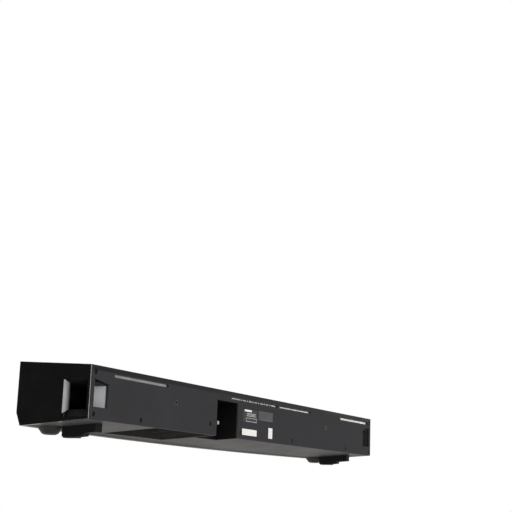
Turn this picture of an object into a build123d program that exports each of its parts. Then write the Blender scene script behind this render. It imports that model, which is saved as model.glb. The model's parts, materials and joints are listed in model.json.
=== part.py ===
"""Soundbar: a bow-fronted one-metre cabinet on four feet.

Frame: X runs along the length, the front faces -Y, +Z is up.
Shapes are drawn from the rear bottom edge of the cabinet (y = 0, z = 0 there)
and moved at the end, so that the origin is the middle of the footprint.
"""
from build123d import *
import math
import os

os.makedirs("parts", exist_ok=True)

# ---------------------------------------------------------------- cabinet
length = 1000.0
rear_height = 79.2
end_depth = 136.0          # rear face to front face, at either end
front_bow = 31.0           # how far the middle of the front stands out
top_rise = 8.0             # rise of the top, from the rear to the end of the front
bottom_drop = 10.0         # drop of the underside over the same depth
bevel_height = 20.0        # sloping band below the front face
bevel_depth = 8.3
foot_clear = 23.5          # rear bottom edge above the table
wall = 2.6
cheek_thick = 4.0
cheek_edge_r = 3.4         # rounded upright edge at the rear corner
cheek_soft_r = 0.8         # its other outer edges
edge_r = 1.2               # long rear edges
lid_depth = 7.5            # lip of the top cover over the walls
fit_gap = 0.2              # clearance round a panel that drops into a shell

# ---------------------------------------------------------------- front
front_set = 9.0            # depth of the grille frame, ahead of the baffle
grille_thick = 1.0
grille_margin = 3.0
frame_band = 8.0
frame_rib = 3.0
rib_from_driver = 50.0     # ribs stand this far to either side of each driver
baffle_thick = 4.0
window_width = 110.0
window_height = 20.0
window_z = 47.0
window_thick = 3.0
window_bezel = 3.0

# ---------------------------------------------------------------- rear panel
slot_height = 4.6
slot_z = 68.0
slot_bar = 1.4
slot_bar_depth = 1.0           # the bars are shallower than the panel
middle_slot_height = 3.0
slot_bar_pitch = 21.0
slot_bars = 6
slot_bar_first = -42.0
right_slot = (57.0, 202.0)     # from the right end
left_slot = (19.5, 157.0)      # from the left end
middle_slots = ((-68.0, 101.5), (-205.0, -75.0))
rail_end = 17.0                # rail's end, from the end of the bar
rail_height = 7.0
rail_thick = 1.2
insert_spacing = 550.0
insert_z = 44.0
insert_r = 4.0
insert_bore_r = 2.5
insert_length = 12.0
insert_boss_r = 8.0
end_screws = ((11.5, 8.0), (11.5, 69.2), (130.0, 8.3))          # from either end
middle_screws = ((168.0, 18.4), (66.5, 9.8), (-130.0, 8.3))     # from the middle
screw_recess_r = 4.0           # recess round each screw's head
screw_recess = 2.0
screw_head_r = 2.9
screw_head_t = 1.8
screw_shank_r = 1.45
screw_length = 8.0
screw_gap = 0.05
head_chamfer = 0.4         # as a share of the head's thickness
boss_r = 5.0
boss_length = 8.0
label_places = (                # x, z, width, height of the recesses for labels
    (34.0, 42.0, 52.0, 24.0), (-23.5, 46.0, 55.0, 17.5), (34.8, 12.9, 53.0, 11.8), (-42.5, 16.6, 16.0, 20.0))
label_recess = 0.3

# ---------------------------------------------------------------- terminal bay
bay_left = 148.0
bay_right = 77.5
bay_depth = 43.0
bay_roof = 61.0
bay_wall = 2.2
rca_places = (88.0, 105.0, 122.0)
rca_z = 26.5
rca_shell_r = 4.15
rca_bore_r = 1.7
rca_reach = 9.0
jack_body = 11.0
jack_board_gap = 8.0
nose_step = 1.0            # the optical socket's nose is this much smaller than its body
nose_reach = 1.0
nose_wall = 1.2
mouth_depth = 4.0
optical_place = (92.0, 47.0)
inlet_place = (126.0, 47.0)
inlet_width = 22.0
inlet_height = 13.0
inlet_depth = 10.0
inlet_step = 2.0           # its nose is this much smaller than its body
inlet_reach = 1.5
inlet_wall = 3.0
pin_r = 1.2
board_thick = 1.6

# ---------------------------------------------------------------- corner ports
port_side_front = 49.5     # front edge of the side window, from the rear face
port_side_rear = 5.0
port_side_low = 2.4
port_side_high = 58.6
port_rear_inner = 43.0     # rear window, from the end of the bar
port_rear_outer = 10.0
port_rear_low = 18.3
port_rear_high = (59.0, 53.5)      # its top edge, at the outer and inner sides
duct_roof = (57.6, 54.0, 51.5)     # at the side window, past the flare, at the inner wall
duct_floor = 15.2
flare_floor = 4.0          # floor of the flare, at the side window
flare_base = 3.2           # underside of the flare, clear of the housing's floor
flare_foot = 2.0           # how far in that underside runs
duct_wall = 2.0
duct_run = 52.0
duct_front_in = 14.5       # where the duct leaves the front wall, from the end
duct_inner_y = 28.0        # where it leaves the inner wall
trim_thick = 1.2
trim_edge_in = 0.5         # front plate's outer edge, from the end of the bar
trim_edge = (8.8, 58.0)    # height of that edge
vane_reach = 24.0
vane_thick = 2.4

# ---------------------------------------------------------------- front drivers
front_driver_in = (125.0, 335.0)    # from either end of the bar
front_driver_z = 47.8
front_driver_set = 0.4     # flange below the face of the baffle
front_flange_half = 33.0
front_flange_corner = 6.0
front_flange_thick = 1.6
front_open_r = 28.0
front_cone_r = 22.0
front_neck_r = 17.0
front_basket_deep = 20.0
front_magnet_r = 22.0
front_magnet_thick = 15.0
front_coil_r = 7.7
front_screw_in = 5.5       # screws, from both edges of the flange
front_travel = 3.0

# ---------------------------------------------------------------- bass driver
bass_x = 238.0
bass_y = 57.0              # centre, from the rear face
bass_seat = 11.0           # flange above the underside
bass_flange_r = 50.0
bass_flange_thick = 2.0
bass_open_r = 43.0
bass_cone_r = 33.0
bass_neck_r = 25.0
bass_basket_deep = 32.0
bass_magnet_r = 32.0
bass_magnet_thick = 18.0
bass_coil_r = 13.0
bass_travel = 4.0
bass_panel_y = 55.6
bass_panel_width = 170.0
bass_panel_depth = 104.0
bass_panel_thick = 1.2
bass_panel_recess = 0.4
bass_slot_rows = 15
bass_slot_columns = 3
bass_slot_width = 3.0
bass_screw_in = 2.6        # screws, from the edge of the flange
sheet_metal = 1.2
basket_windows = 6
basket_window_wide = 0.62  # windows between the arms, as shares of the opening's radius
basket_window_tall = 0.52  # and of the basket's depth
basket_window_mid = 0.54   # how far down the basket their middle lies
back_plate = 3.0           # plate behind the coil's gap
cone_rim_drop = 1.0        # rim of the cone, behind the flange
cone_thick = 1.0
cone_neck = 0.62           # depth of the cone's neck, as a share of the basket's
neck_wall = 0.4
cap_margin = 1.5           # dust cap's edge, outside the coil
cap_seat = 1.6
cap_hollow = 1.4
cap_rise = 3.0             # height of the dust cap
coil_thick = 0.6
coil_gap = 0.35
coil_clear = 1.0           # coil's end to the back plate, at full travel
suspension_gap = 0.3
suspension_rim = 2.0       # glued rim of the surround, outside the opening
suspension_thick = 0.7
surround_rise = 0.85       # height of the roll, as a share of its half width
surround_crest = 0.45      # half of its flat crest, likewise
spider_level = 0.85        # depth of the spider, as a share of the basket's
spider_edge = 0.3

# ---------------------------------------------------------------- feet
foot_block_in = 61.5       # from the end of the bar
foot_block_width = 15.0
foot_block_rear = 26.0
foot_block_front = 91.5
foot_heel = (14.8, 16.7)   # underside of the heel, at the rear and at the step
foot_step_y = 49.5
foot_step_run = 1.5
foot_step_z = 20.6
foot_seat_y = 63.5         # the pad's seat runs from here to the front
foot_corner = 1.0
foot_pad_thick = 1.7
foot_pad_margin = 2.0
dome_in = 52.0             # from the end of the bar
dome_y = 111.8
dome_low = 19.2            # bottom of the dome, below the rear bottom edge
dome_base_r = 9.0
dome_edge_r = 12.5         # where the dome's slope turns into its bottom
dome_edge_rise = 1.6
dome_r = 20.0
dome_overlap = 3.0
foot_screw_r = 2.0
foot_screw_head_r = 3.8
foot_screw_head_t = 2.4
foot_screw_rise = 8.0
foot_screw_seat = 6.0      # thickness of foot under the screw's head

# ---------------------------------------------------------------- boards
standoff_height = 6.0
standoff_r = 3.2
standoff_inset = 5.0
board_screw_r = 1.2
small_head_r = 2.4
small_head_t = 1.4
board_screw_short = 1.0    # the screw stops this far above the floor
power_board_x = -205.0
power_board_size = (150.0, 78.0)
main_board_x = 0.0
main_board_size = (130.0, 74.0)
board_y = 68.0
transformer_size = (38.0, 32.0, 26.0)
capacitor_r = 9.0
capacitor_height = 27.0
capacitor_places = ((15.0, 20.0), (37.0, 20.0), (15.0, -6.0))
chip_places = ((-30.0, 0.0, 14.0), (30.0, -6.0, 18.0), (8.0, 20.0, 10.0))   # x, y, side
chip_thick = 1.6
transformer_place = (-35.0, 8.0)
power_sink_size = (46.0, 16.0, 24.0)
power_sink_place = (41.0, -24.0)
amplifier_sink_size = (36.0, 30.0, 18.0)
sink_fin_count = 7
sink_fin_thick = 1.4
sink_base = 3.0

# ---------------------------------------------------------------- buttons
button_names = ("power_button", "source_button", "volume_down_button", "volume_up_button")
button_pitch = 26.0
button_y = 60.0
button_width = 16.0
button_depth = 8.0
button_corner = 3.0
button_proud = 1.2
button_travel = 0.8
button_gap = 0.3
button_flange = 1.2
button_stop_gap = 0.1
button_stem_r = 1.6
switch_height = 3.4
switch_side = 6.0
plunger_r = 1.5
plunger_height = 1.0
button_board_drop = 10.0   # face of the button board, below the outside of the top
button_board_size = (112.0, 18.0)
button_board_screw_in = 3.5        # its two screws, from its ends

# ---------------------------------------------------------------- worked out
half = length / 2
port_rear_x = half - port_rear_inner
duct_front_x = half - duct_front_in
foot_block_x = half - foot_block_in
dome_x = half - dome_in
outer_driver_x = half - front_driver_in[0]
inner_driver_x = half - front_driver_in[1]
front_driver_x = (-outer_driver_x, -inner_driver_x, inner_driver_x, outer_driver_x)
slot_spans = (
    (half - right_slot[1], half - right_slot[0]),
    (-half + left_slot[0], -half + left_slot[1]),
) + middle_slots
rear_screw_places = (
    tuple((half - x, z) for x, z in end_screws)
    + tuple((x - half, z) for x, z in end_screws)
    + middle_screws
)
shell_half = half - cheek_thick
inner_half = shell_half - wall
mid_depth = end_depth + front_bow
bow_r = (half ** 2 + front_bow ** 2) / (2 * front_bow)
bow_axis_y = bow_r - mid_depth
top_slope = top_rise / end_depth
under_slope = bottom_drop / end_depth
kink_z = bevel_height - bottom_drop
spare = 40.0               # how far a cutting shape runs past what it cuts


def top_z(depth):
    """Height of the top surface at a distance in front of the rear face."""
    return rear_height + top_slope * depth


def under_z(depth):
    """Height of the underside at a distance in front of the rear face."""
    return -under_slope * depth


def front_y(x, inset):
    """Front face at a place along the bar, set back by inset."""
    return bow_axis_y - math.sqrt((bow_r - inset) ** 2 - x ** 2)


def block(x0, x1, y0, y1, z0, z1):
    """Box between two corners."""
    return Pos((x0 + x1) / 2, (y0 + y1) / 2, (z0 + z1) / 2) * Box(x1 - x0, y1 - y0, z1 - z0)


def rear_pin(x, z, radius, y0, y1):
    """Round bar along Y."""
    return Pos(x, (y0 + y1) / 2, z) * Rot(90, 0, 0) * Cylinder(radius, y1 - y0)


def prism(points, half_x):
    """Outline in (y, z), drawn out to both sides of the middle."""
    outline = make_face(Polyline([(0, y, z) for y, z in points], close=True))
    return extrude(outline, amount=half_x, dir=(1, 0, 0), both=True)


def slab(points, y0, y1):
    """Outline in (x, z), drawn out between two depths."""
    outline = make_face(Polyline([(x, y0, z) for x, z in points], close=True))
    return extrude(outline, amount=y1 - y0, dir=(0, 1, 0))


def side_form(inset, half_x):
    """Space between the top, the rear and the underside, each set in."""
    far = mid_depth + spare
    low = inset * math.hypot(1, under_slope)
    high = inset * math.hypot(1, top_slope)
    points = [
        (-inset, under_z(inset) + low),
        (-inset, top_z(inset) - high),
        (-far, top_z(far) - high),
        (-far, under_z(far) + low),
    ]
    return prism(points, half_x)


def front_form(inset):
    """Space behind the bowed front and its bevel, both set in."""
    slant = math.hypot(bevel_height, bevel_depth)
    face_y = -mid_depth + inset
    turn_z = kink_z + inset * (slant - bevel_height) / bevel_depth
    drop = bevel_height + spare
    points = [
        (spare, rear_height + spare),
        (face_y, rear_height + spare),
        (face_y, turn_z),
        (face_y + drop * bevel_depth / bevel_height, turn_z - drop),
        (spare, turn_z - drop),
    ]
    outline = make_face(Polyline([(0, y, z) for y, z in points], close=True))
    sweep_angle = 2 * math.degrees(math.asin((half + spare) / (bow_r - spare)))
    turned = Rot(0, 0, -sweep_angle / 2) * (Pos(0, -bow_axis_y, 0) * outline)
    return Pos(0, bow_axis_y, 0) * revolve(turned, Axis.Z, revolution_arc=sweep_angle)


def cabinet_form(front_inset, side_inset, half_x):
    """Cabinet outline, set in from the front and from the other faces."""
    return side_form(side_inset, half_x) & front_form(front_inset)


def above_split():
    """Space above the joint between the walls and the top cover."""
    far = mid_depth + spare
    points = [
        (spare, top_z(-spare) - lid_depth),
        (spare, top_z(0) + far),
        (-far, top_z(far) + far),
        (-far, top_z(far) - lid_depth),
    ]
    return prism(points, length)


def under_plane(x, depth):
    """Plane on the underside, facing down."""
    return Plane(origin=(x, -depth, under_z(depth)), x_dir=(1, 0, 0), z_dir=(0, under_slope, -1))


def floor_plane(x, depth):
    """Plane on the inside of the floor, facing up."""
    lift = wall * math.hypot(1, under_slope)
    origin = (x, -depth, under_z(depth) + lift)
    return Plane(origin=origin, x_dir=(1, 0, 0), z_dir=(0, -under_slope, 1))


def top_plane(x, depth):
    """Plane on the top surface, facing up."""
    return Plane(origin=(x, -depth, top_z(depth)), x_dir=(1, 0, 0), z_dir=(0, top_slope, 1))


def front_plane(x, z, inset):
    """Plane on the bowed front, set back by inset and facing out."""
    turn = math.asin(x / (bow_r - inset))
    origin = (x, front_y(x, inset), z)
    x_dir = (math.cos(turn), math.sin(turn), 0)
    return Plane(origin=origin, x_dir=x_dir, z_dir=(math.sin(turn), -math.cos(turn), 0))


def mirrored(shape):
    """The same piece at the other end of the bar."""
    return mirror(shape, about=Plane.YZ)


def screw(head_r, head_t, shank_r, shank_length):
    """Pan-head screw, its head above z = 0."""
    head = Pos(0, 0, head_t / 2) * Cylinder(head_r, head_t)
    head = chamfer(head.edges().group_by(Axis.Z)[-1], head_t * head_chamfer)
    return head + Pos(0, 0, -shank_length / 2) * Cylinder(shank_r, shank_length)


# ---------------------------------------------------------------- shells
cabinet = cabinet_form(front_set, 0, shell_half)
rear_edges = cabinet.edges().filter_by(Axis.X).group_by(Axis.Y)[-1]
cabinet = fillet(rear_edges, edge_r)
cavity = cabinet_form(front_set - baffle_thick, wall, inner_half)
walls = cabinet - cavity
lid_space = above_split()
rear_slab = block(-length, length, -wall, spare, -spare, rear_height + spare)


def rear_bosses():
    """Bosses behind the rear panel, which its screws bite into."""
    bosses = Part()
    for x, z in rear_screw_places:
        bosses += rear_pin(x, z, boss_r, -wall - boss_length, -wall)
        if z < rear_height / 2:
            bosses += block(x - boss_r, x + boss_r, -wall - boss_length, -wall, -1, z)
    for x, z in rear_screw_places:
        bosses -= rear_pin(x, z, screw_shank_r + screw_gap, -wall - boss_length - 1, 0)
    return bosses


def board_corners(size):
    """Places of a board's four screws, from its middle."""
    return GridLocations(size[0] - 2 * standoff_inset, size[1] - 2 * standoff_inset, 2, 2)


def standoffs(x, size):
    """Four pillars on the floor below a board."""
    pillars = Part()
    for place in board_corners(size):
        pillar = Pos(0, 0, standoff_height / 2) * Cylinder(standoff_r, standoff_height)
        pillar -= Pos(0, 0, standoff_height / 2) * Cylinder(board_screw_r + screw_gap, standoff_height)
        pillars += floor_plane(x, board_y).location * place * pillar
    return pillars


def foot_screw_spots():
    """Plan places of the four foot screws: x, then depth."""
    block_mid = (foot_block_rear + foot_block_front) / 2
    return [(side * x, depth) for side in (1, -1) for x, depth in ((foot_block_x, block_mid), (dome_x, dome_y))]


def lower_housing():
    """Floor and end walls, with the seats for what they carry."""
    shell = walls - lid_space - rear_slab
    shell += (rear_bosses() & cabinet) - rear_slab
    shell += standoffs(power_board_x, power_board_size) + standoffs(main_board_x, main_board_size)
    bass_plane = under_plane(bass_x, bass_y).location
    ring_height = bass_seat
    ring = Pos(0, 0, -ring_height / 2) * Cylinder(bass_flange_r + duct_wall, ring_height)
    shell += (bass_plane * ring) & cabinet
    ring_r = bass_open_r + suspension_rim + fit_gap
    shell -= bass_plane * Pos(0, 0, -ring_height / 2) * Cylinder(ring_r, ring_height + spare)
    recess_deep = bass_panel_thick + bass_panel_recess
    recess = Box(bass_panel_width + fit_gap, bass_panel_depth + fit_gap, 2 * recess_deep)
    shell -= under_plane(bass_x, bass_panel_y).location * recess
    for x, depth in foot_screw_spots():
        post = Pos(0, 0, -foot_screw_rise / 2) * Cylinder(boss_r, foot_screw_rise)
        hole = Pos(0, 0, -foot_screw_rise / 2) * Cylinder(foot_screw_r + screw_gap, foot_screw_rise + 2)
        plane = under_plane(x, depth).location
        shell += plane * post
        shell -= plane * hole
    side_window = block(
        inner_half - 1, half + 1, -port_side_front, -port_side_rear, port_side_low, port_side_high)
    shell -= side_window
    shell -= mirrored(side_window)
    return shell


def port_rear_window():
    """Opening of a corner port through the rear panel; its top edge slopes."""
    inner_x = port_rear_x - trim_thick
    outer_x = half - port_rear_outer
    points = [
        (inner_x, port_rear_low), (outer_x, port_rear_low),
        (outer_x, port_rear_high[0]), (inner_x, port_rear_high[1]),
    ]
    return slab(points, -wall - 1, 1)


def terminal_bay():
    """Open-bottomed recess for the cables, moulded with the rear panel."""
    outside = block(
        bay_right - bay_wall, bay_left + bay_wall, -bay_depth - bay_wall, 0, -spare, bay_roof + bay_wall)
    space = block(bay_right, bay_left, -bay_depth, spare, -spare, bay_roof)
    return outside & cabinet, space


def jack_holes():
    """Openings in the back of the bay for the sockets."""
    holes = Part()
    back = -bay_depth - bay_wall
    for x in rca_places:
        holes += rear_pin(x, rca_z, rca_shell_r + screw_gap, back - 1, -bay_depth + 1)
    x, z = optical_place
    side = jack_body / 2 - nose_step + screw_gap
    holes += block(x - side, x + side, back - 1, -bay_depth + 1, z - side, z + side)
    x, z = inlet_place
    wide = inlet_width / 2 - inlet_step + screw_gap
    tall = inlet_height / 2 - inlet_step + screw_gap
    holes += block(x - wide, x + wide, back - 1, -bay_depth + 1, z - tall, z + tall)
    return holes


def slots():
    """Long slots under the top edge; the first of the middle ones has upright bars."""
    cuts = Part()
    for start, end in slot_spans:
        height = middle_slot_height if (start, end) in middle_slots else slot_height
        cut = extrude(SlotOverall(end - start, height), amount=wall + 1, both=True)
        cuts += Pos((start + end) / 2, 0, slot_z) * Rot(90, 0, 0) * cut
    for k in range(slot_bars):
        x = slot_bar_first + k * slot_bar_pitch
        cuts -= block(
            x - slot_bar / 2, x + slot_bar / 2, -slot_bar_depth, spare, slot_z - slot_height, slot_z + slot_height)
    return cuts


def label_recesses():
    """Shallow recesses that the labels are stuck into."""
    cuts = Part()
    for x, z, width, height in label_places:
        cuts += block(x - width / 2, x + width / 2, -label_recess, 1, z - height / 2, z + height / 2)
    return cuts


def rear_panel():
    """Back of the cabinet, with the bay, slots, port windows and screw holes."""
    bay, bay_space = terminal_bay()
    panel = (cabinet & rear_slab) - lid_space
    for side in (1, -1):
        panel += rear_pin(side * insert_spacing / 2, insert_z, insert_boss_r, -wall - insert_length, 0)
    panel += bay - lid_space
    panel -= bay_space
    panel -= jack_holes()
    panel -= slots()
    panel -= label_recesses()
    panel -= port_rear_window()
    panel -= mirrored(port_rear_window())
    for side in (1, -1):
        panel -= rear_pin(side * insert_spacing / 2, insert_z, insert_r, -insert_length, 1)
    for x, z in rear_screw_places:
        panel -= rear_pin(x, z, screw_recess_r, -screw_recess, 1)
        panel -= rear_pin(x, z, screw_shank_r + screw_gap, -wall - 1, 0)
    return panel


def housing_floor_cut():
    """Room in the floor for the bay, which reaches the underside."""
    return block(
        bay_right - bay_wall, bay_left + bay_wall, -bay_depth - bay_wall, spare, -spare, bay_roof + bay_wall)


def stiffener_rail():
    """Steel strip behind the slots."""
    rail = block(
        rail_end - half, half - rail_end,
        -wall - rail_thick, -wall, slot_z - rail_height / 2, slot_z + rail_height / 2)
    return rail


def bracket_inserts():
    """Two threaded brass inserts for a bracket."""
    inserts = Part()
    for side in (1, -1):
        x = side * insert_spacing / 2
        sleeve = rear_pin(x, insert_z, insert_r, -insert_length, 0)
        inserts += sleeve - rear_pin(x, insert_z, insert_bore_r, -insert_length - 1, 1)
    return inserts


def rear_screws():
    """Screws that hold the rear panel."""
    group = Part()
    for x, z in rear_screw_places:
        one = screw(screw_head_r, screw_head_t, screw_shank_r, screw_length)
        group += Pos(x, -screw_recess, z) * Rot(-90, 0, 0) * one
    return group


# ---------------------------------------------------------------- top and buttons
def button_shape(width, depth, corner, height):
    """Rounded key, its bottom at z = 0."""
    return extrude(RectangleRounded(width, depth, corner), amount=height)


def button_place(index):
    """Top plane at one button."""
    x = (index - (len(button_names) - 1) / 2) * button_pitch
    return top_plane(x, button_y).location


def board_post_x():
    """Distance of the button board's two screws from the middle."""
    return button_board_size[0] / 2 - button_board_screw_in


def top_cover():
    """Lid with a lip round the screws' recesses, four key holes and two posts for the button board."""
    cover = (walls & lid_space)
    post_height = button_board_drop
    for side in (1, -1):
        post = Pos(0, 0, -post_height / 2) * Cylinder(standoff_r, post_height)
        cover += top_plane(side * board_post_x(), button_y).location * post
    for index in range(len(button_names)):
        hole = button_shape(button_width, button_depth, button_corner, 2 * wall + 2)
        cover -= button_place(index) * Pos(0, 0, -wall - 1) * hole
    for x, z in rear_screw_places:
        cover -= rear_pin(x, z, screw_recess_r, -screw_recess, 1)
    for side in (1, -1):
        hole = Pos(0, 0, -button_board_drop / 2 - wall) * Cylinder(board_screw_r + screw_gap, button_board_drop)
        cover -= top_plane(side * board_post_x(), button_y).location * hole
    return cover


def button(index):
    """Key cap with its retaining flange and stem."""
    cap = button_shape(
        button_width - 2 * button_gap, button_depth - 2 * button_gap, button_corner - button_gap,
        wall + button_proud + button_flange)
    cap = fillet(cap.edges().group_by(Axis.Z)[-1], button_gap)
    cap = Pos(0, 0, -wall - button_flange) * cap
    flange = button_shape(
        button_width + 2 * button_flange, button_depth + 2 * button_flange, button_corner + button_flange,
        button_flange)
    cap += Pos(0, 0, -wall - button_flange - button_stop_gap) * flange
    stem_top = -wall - button_flange
    stem_low = -button_board_drop + switch_height + plunger_height + button_travel + button_stop_gap
    cap += Pos(0, 0, (stem_top + stem_low) / 2) * Cylinder(button_stem_r, stem_top - stem_low)
    return button_place(index) * cap


def button_board():
    """Small board with four push switches."""
    board = Pos(0, 0, -board_thick / 2) * Box(*button_board_size, board_thick)
    for side in (1, -1):
        board -= Pos(side * board_post_x(), 0, 0) * Cylinder(board_screw_r + screw_gap, spare)
    for index in range(len(button_names)):
        x = (index - (len(button_names) - 1) / 2) * button_pitch
        board += Pos(x, 0, switch_height / 2) * Box(switch_side, switch_side, switch_height)
        board += Pos(x, 0, switch_height + plunger_height / 2) * Cylinder(plunger_r, plunger_height)
    return top_plane(0, button_y).location * Pos(0, 0, -button_board_drop) * board


# ---------------------------------------------------------------- front
def front_layer(outer, inner, side_inset, half_x):
    """Bowed sheet between two distances behind the front."""
    return cabinet_form(outer, side_inset, half_x) - front_form(inner)


def window_block(grow, inset, depth):
    """Straight block for the display window, on the middle of the front."""
    plane = front_plane(0, window_z, inset).location
    block_size = Box(window_width + 2 * grow, window_height + 2 * grow, depth)
    return plane * Pos(0, 0, -depth / 2) * block_size


def front_grille():
    """Perforated steel sheet over the front and its bevel."""
    sheet = front_layer(0, grille_thick, grille_margin, shell_half - grille_margin)
    return sheet - window_block(window_bezel, -spare, 2 * spare)


def grille_frame():
    """Frame that carries the grille, with upright ribs and the window's bezel."""
    rebate = front_layer(-1, grille_thick, grille_margin - fit_gap, shell_half - grille_margin + fit_gap)
    frame = front_layer(0, front_set, 0, shell_half)
    frame -= rebate - window_block(window_bezel - fit_gap, -spare, 2 * spare)
    opening = side_form(frame_band, shell_half - frame_band)
    frame -= opening & front_form(front_set / 2)
    bays = opening - window_block(window_bezel, -spare, 2 * spare)
    bezel_x = window_width / 2 + window_bezel
    places = [side * bezel_x for side in (1, -1)]
    places += [x + side * rib_from_driver for x in front_driver_x for side in (1, -1)]
    for x in places:
        bays -= block(
            x - frame_rib / 2, x + frame_rib / 2, -2 * mid_depth, spare, -spare, rear_height + spare)
    frame -= bays
    frame -= window_block(fit_gap, -1, window_thick + 1)
    return frame - window_block(-window_bezel, -1, spare)


def display_window():
    """Smoked window in front of the display."""
    return window_block(0, 0, window_thick) & front_form(0)


def display_board():
    """Board with the display and the remote control's receiver."""
    depth = front_set / 2
    plane = front_plane(0, window_z, depth + fit_gap).location
    board = Pos(0, 0, -board_thick / 2 - 1) * Box(window_width - 2 * window_bezel, window_height, board_thick)
    board += Pos(0, 0, -0.5) * Box(window_width / 2, window_height / 2, 1)
    return plane * board


def front_baffle():
    """Bowed panel with a seat for each front driver."""
    panel = cabinet_form(front_set, wall + fit_gap, inner_half - fit_gap) - front_form(front_set + baffle_thick)
    for x in front_driver_x:
        plane = front_driver_place(x)
        side = 2 * (front_flange_half + fit_gap)
        seat = extrude(RectangleRounded(side, side, front_flange_corner), amount=-front_flange_thick)
        panel -= plane * seat
        panel -= plane * Pos(0, 0, front_flange_thick / 2) * Box(side, side, front_flange_thick)
        panel -= plane * Cylinder(front_open_r + sheet_metal + fit_gap, 4 * baffle_thick)
        for place in flange_screw_places(front_flange_half):
            panel -= plane * place * Cylinder(board_screw_r + screw_gap, 4 * baffle_thick)
    reach = front_set - front_set / 2 - fit_gap - board_thick - 1
    for side in (1, -1):
        x = side * (window_width / 2 - 3 * window_bezel)
        plane = front_plane(0, window_z, front_set).location
        panel += plane * Pos(x, 0, reach / 2 - 1) * Cylinder(standoff_r, reach + 2)
    return panel


# ---------------------------------------------------------------- drivers
front_size = dict(
    open_r=front_open_r, cone_r=front_cone_r, neck_r=front_neck_r, deep=front_basket_deep,
    magnet_r=front_magnet_r, magnet_thick=front_magnet_thick, coil_r=front_coil_r, travel=front_travel,
    flange_thick=front_flange_thick)
bass_size = dict(
    open_r=bass_open_r, cone_r=bass_cone_r, neck_r=bass_neck_r, deep=bass_basket_deep,
    magnet_r=bass_magnet_r, magnet_thick=bass_magnet_thick, coil_r=bass_coil_r, travel=bass_travel,
    flange_thick=bass_flange_thick)


def flange_screw_places(reach):
    """Four screws, near the corners of a square flange."""
    spacing = 2 * (reach - front_screw_in)
    return GridLocations(spacing, spacing, 2, 2)


def bass_screw_places():
    """Four screws round the bass driver's flange."""
    return PolarLocations(bass_flange_r - bass_screw_in, 4, start_angle=45)


def driver_basket(flange, s):
    """Pressed frame: flange, six arms and the plate that holds the magnet."""
    gap_r = s["coil_r"] + coil_thick + coil_gap
    bowl = Pos(0, 0, -s["deep"] / 2) * Cone(s["neck_r"] + sheet_metal, s["open_r"] + sheet_metal, s["deep"])
    hollow = Pos(0, 0, -s["deep"] / 2 + sheet_metal / 2)
    bowl -= hollow * Cone(s["neck_r"], s["open_r"], s["deep"] - sheet_metal)
    bowl -= Pos(0, 0, -s["deep"]) * Cylinder(gap_r, 4 * sheet_metal)
    window = Box(s["open_r"] + spare, s["open_r"] * basket_window_wide, s["deep"] * basket_window_tall)
    for place in PolarLocations((s["open_r"] + spare) / 2 + gap_r, basket_windows):
        bowl -= Pos(0, 0, -s["deep"] * basket_window_mid) * place * window
    return flange - Cylinder(s["open_r"], spare) + bowl


def driver_magnet(s):
    """Magnet and pole, with the ring-shaped gap that the coil moves in."""
    body = Pos(0, 0, -s["deep"] - s["magnet_thick"] / 2) * Cylinder(s["magnet_r"], s["magnet_thick"])
    gap_deep = s["magnet_thick"] - back_plate
    gap = Cylinder(s["coil_r"] + coil_thick + coil_gap, gap_deep) - Cylinder(s["coil_r"] - coil_gap, gap_deep)
    body -= Pos(0, 0, -s["deep"] - gap_deep / 2) * gap
    return body


def dome_arc(radius, z, rise):
    """Half section of a shallow dome, from its rim to the middle."""
    ball_r = (radius ** 2 + rise ** 2) / (2 * rise)
    half_angle = math.asin(radius / ball_r) / 2
    middle = (ball_r * math.sin(half_angle), 0, z + rise - ball_r * (1 - math.cos(half_angle)))
    return ThreePointArc((radius, 0, z), middle, (0, 0, z + rise))


def driver_cone(s):
    """Cone, dust cap and coil former in one turned profile."""
    rim = -cone_rim_drop
    neck = -s["deep"] * cone_neck
    coil_out = s["coil_r"] + coil_thick
    cap_r = coil_out + cap_margin
    low = -s["deep"] - s["magnet_thick"] + back_plate + s["travel"] + coil_clear
    points = [
        (0, 0, neck + cap_hollow), (s["coil_r"], 0, neck), (s["coil_r"], 0, low), (coil_out, 0, low),
        (coil_out, 0, neck - neck_wall), (s["cone_r"], 0, rim - cone_thick), (s["cone_r"], 0, rim),
        (cap_r, 0, neck + cap_seat),
    ]
    cap = dome_arc(cap_r, neck + cap_seat, cap_rise)
    outline = Polyline(points) + cap + Line(cap @ 1, points[0])
    return revolve(make_face(outline), Axis.Z)


def driver_suspension(s):
    """Rolled surround and the flat spider behind it."""
    inner = s["cone_r"] + suspension_gap
    roll = (s["open_r"] - inner) / 2
    middle = inner + roll
    thick = suspension_thick
    crest = roll * surround_crest
    rise = roll * surround_rise
    section = [
        (inner, 0, 0), (middle - crest, 0, rise), (middle + crest, 0, rise), (s["open_r"], 0, 0),
        (s["open_r"] - thick, 0, 0), (middle + crest - thick / 2, 0, rise - thick),
        (middle - crest + thick / 2, 0, rise - thick), (inner + thick, 0, 0),
    ]
    ring = revolve(make_face(Polyline(section, close=True)), Axis.Z)
    rim = Pos(0, 0, thick / 2) * (Cylinder(s["open_r"] + suspension_rim, thick) - Cylinder(s["open_r"] - thick, thick))
    level = s["deep"] * spider_level
    edge = s["open_r"] - (s["open_r"] - s["neck_r"]) * level / (s["deep"] - sheet_metal)
    spider = Cylinder(edge - spider_edge, thick) - Cylinder(s["coil_r"] + coil_thick + suspension_gap, thick)
    return ring + rim + Pos(0, 0, -level) * spider


def front_flange():
    """Square pressed flange with rounded corners."""
    side = 2 * front_flange_half
    plate = extrude(RectangleRounded(side, side, front_flange_corner), amount=-front_flange_thick)
    for place in flange_screw_places(front_flange_half):
        plate -= place * Cylinder(board_screw_r + screw_gap, spare)
    return plate


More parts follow.
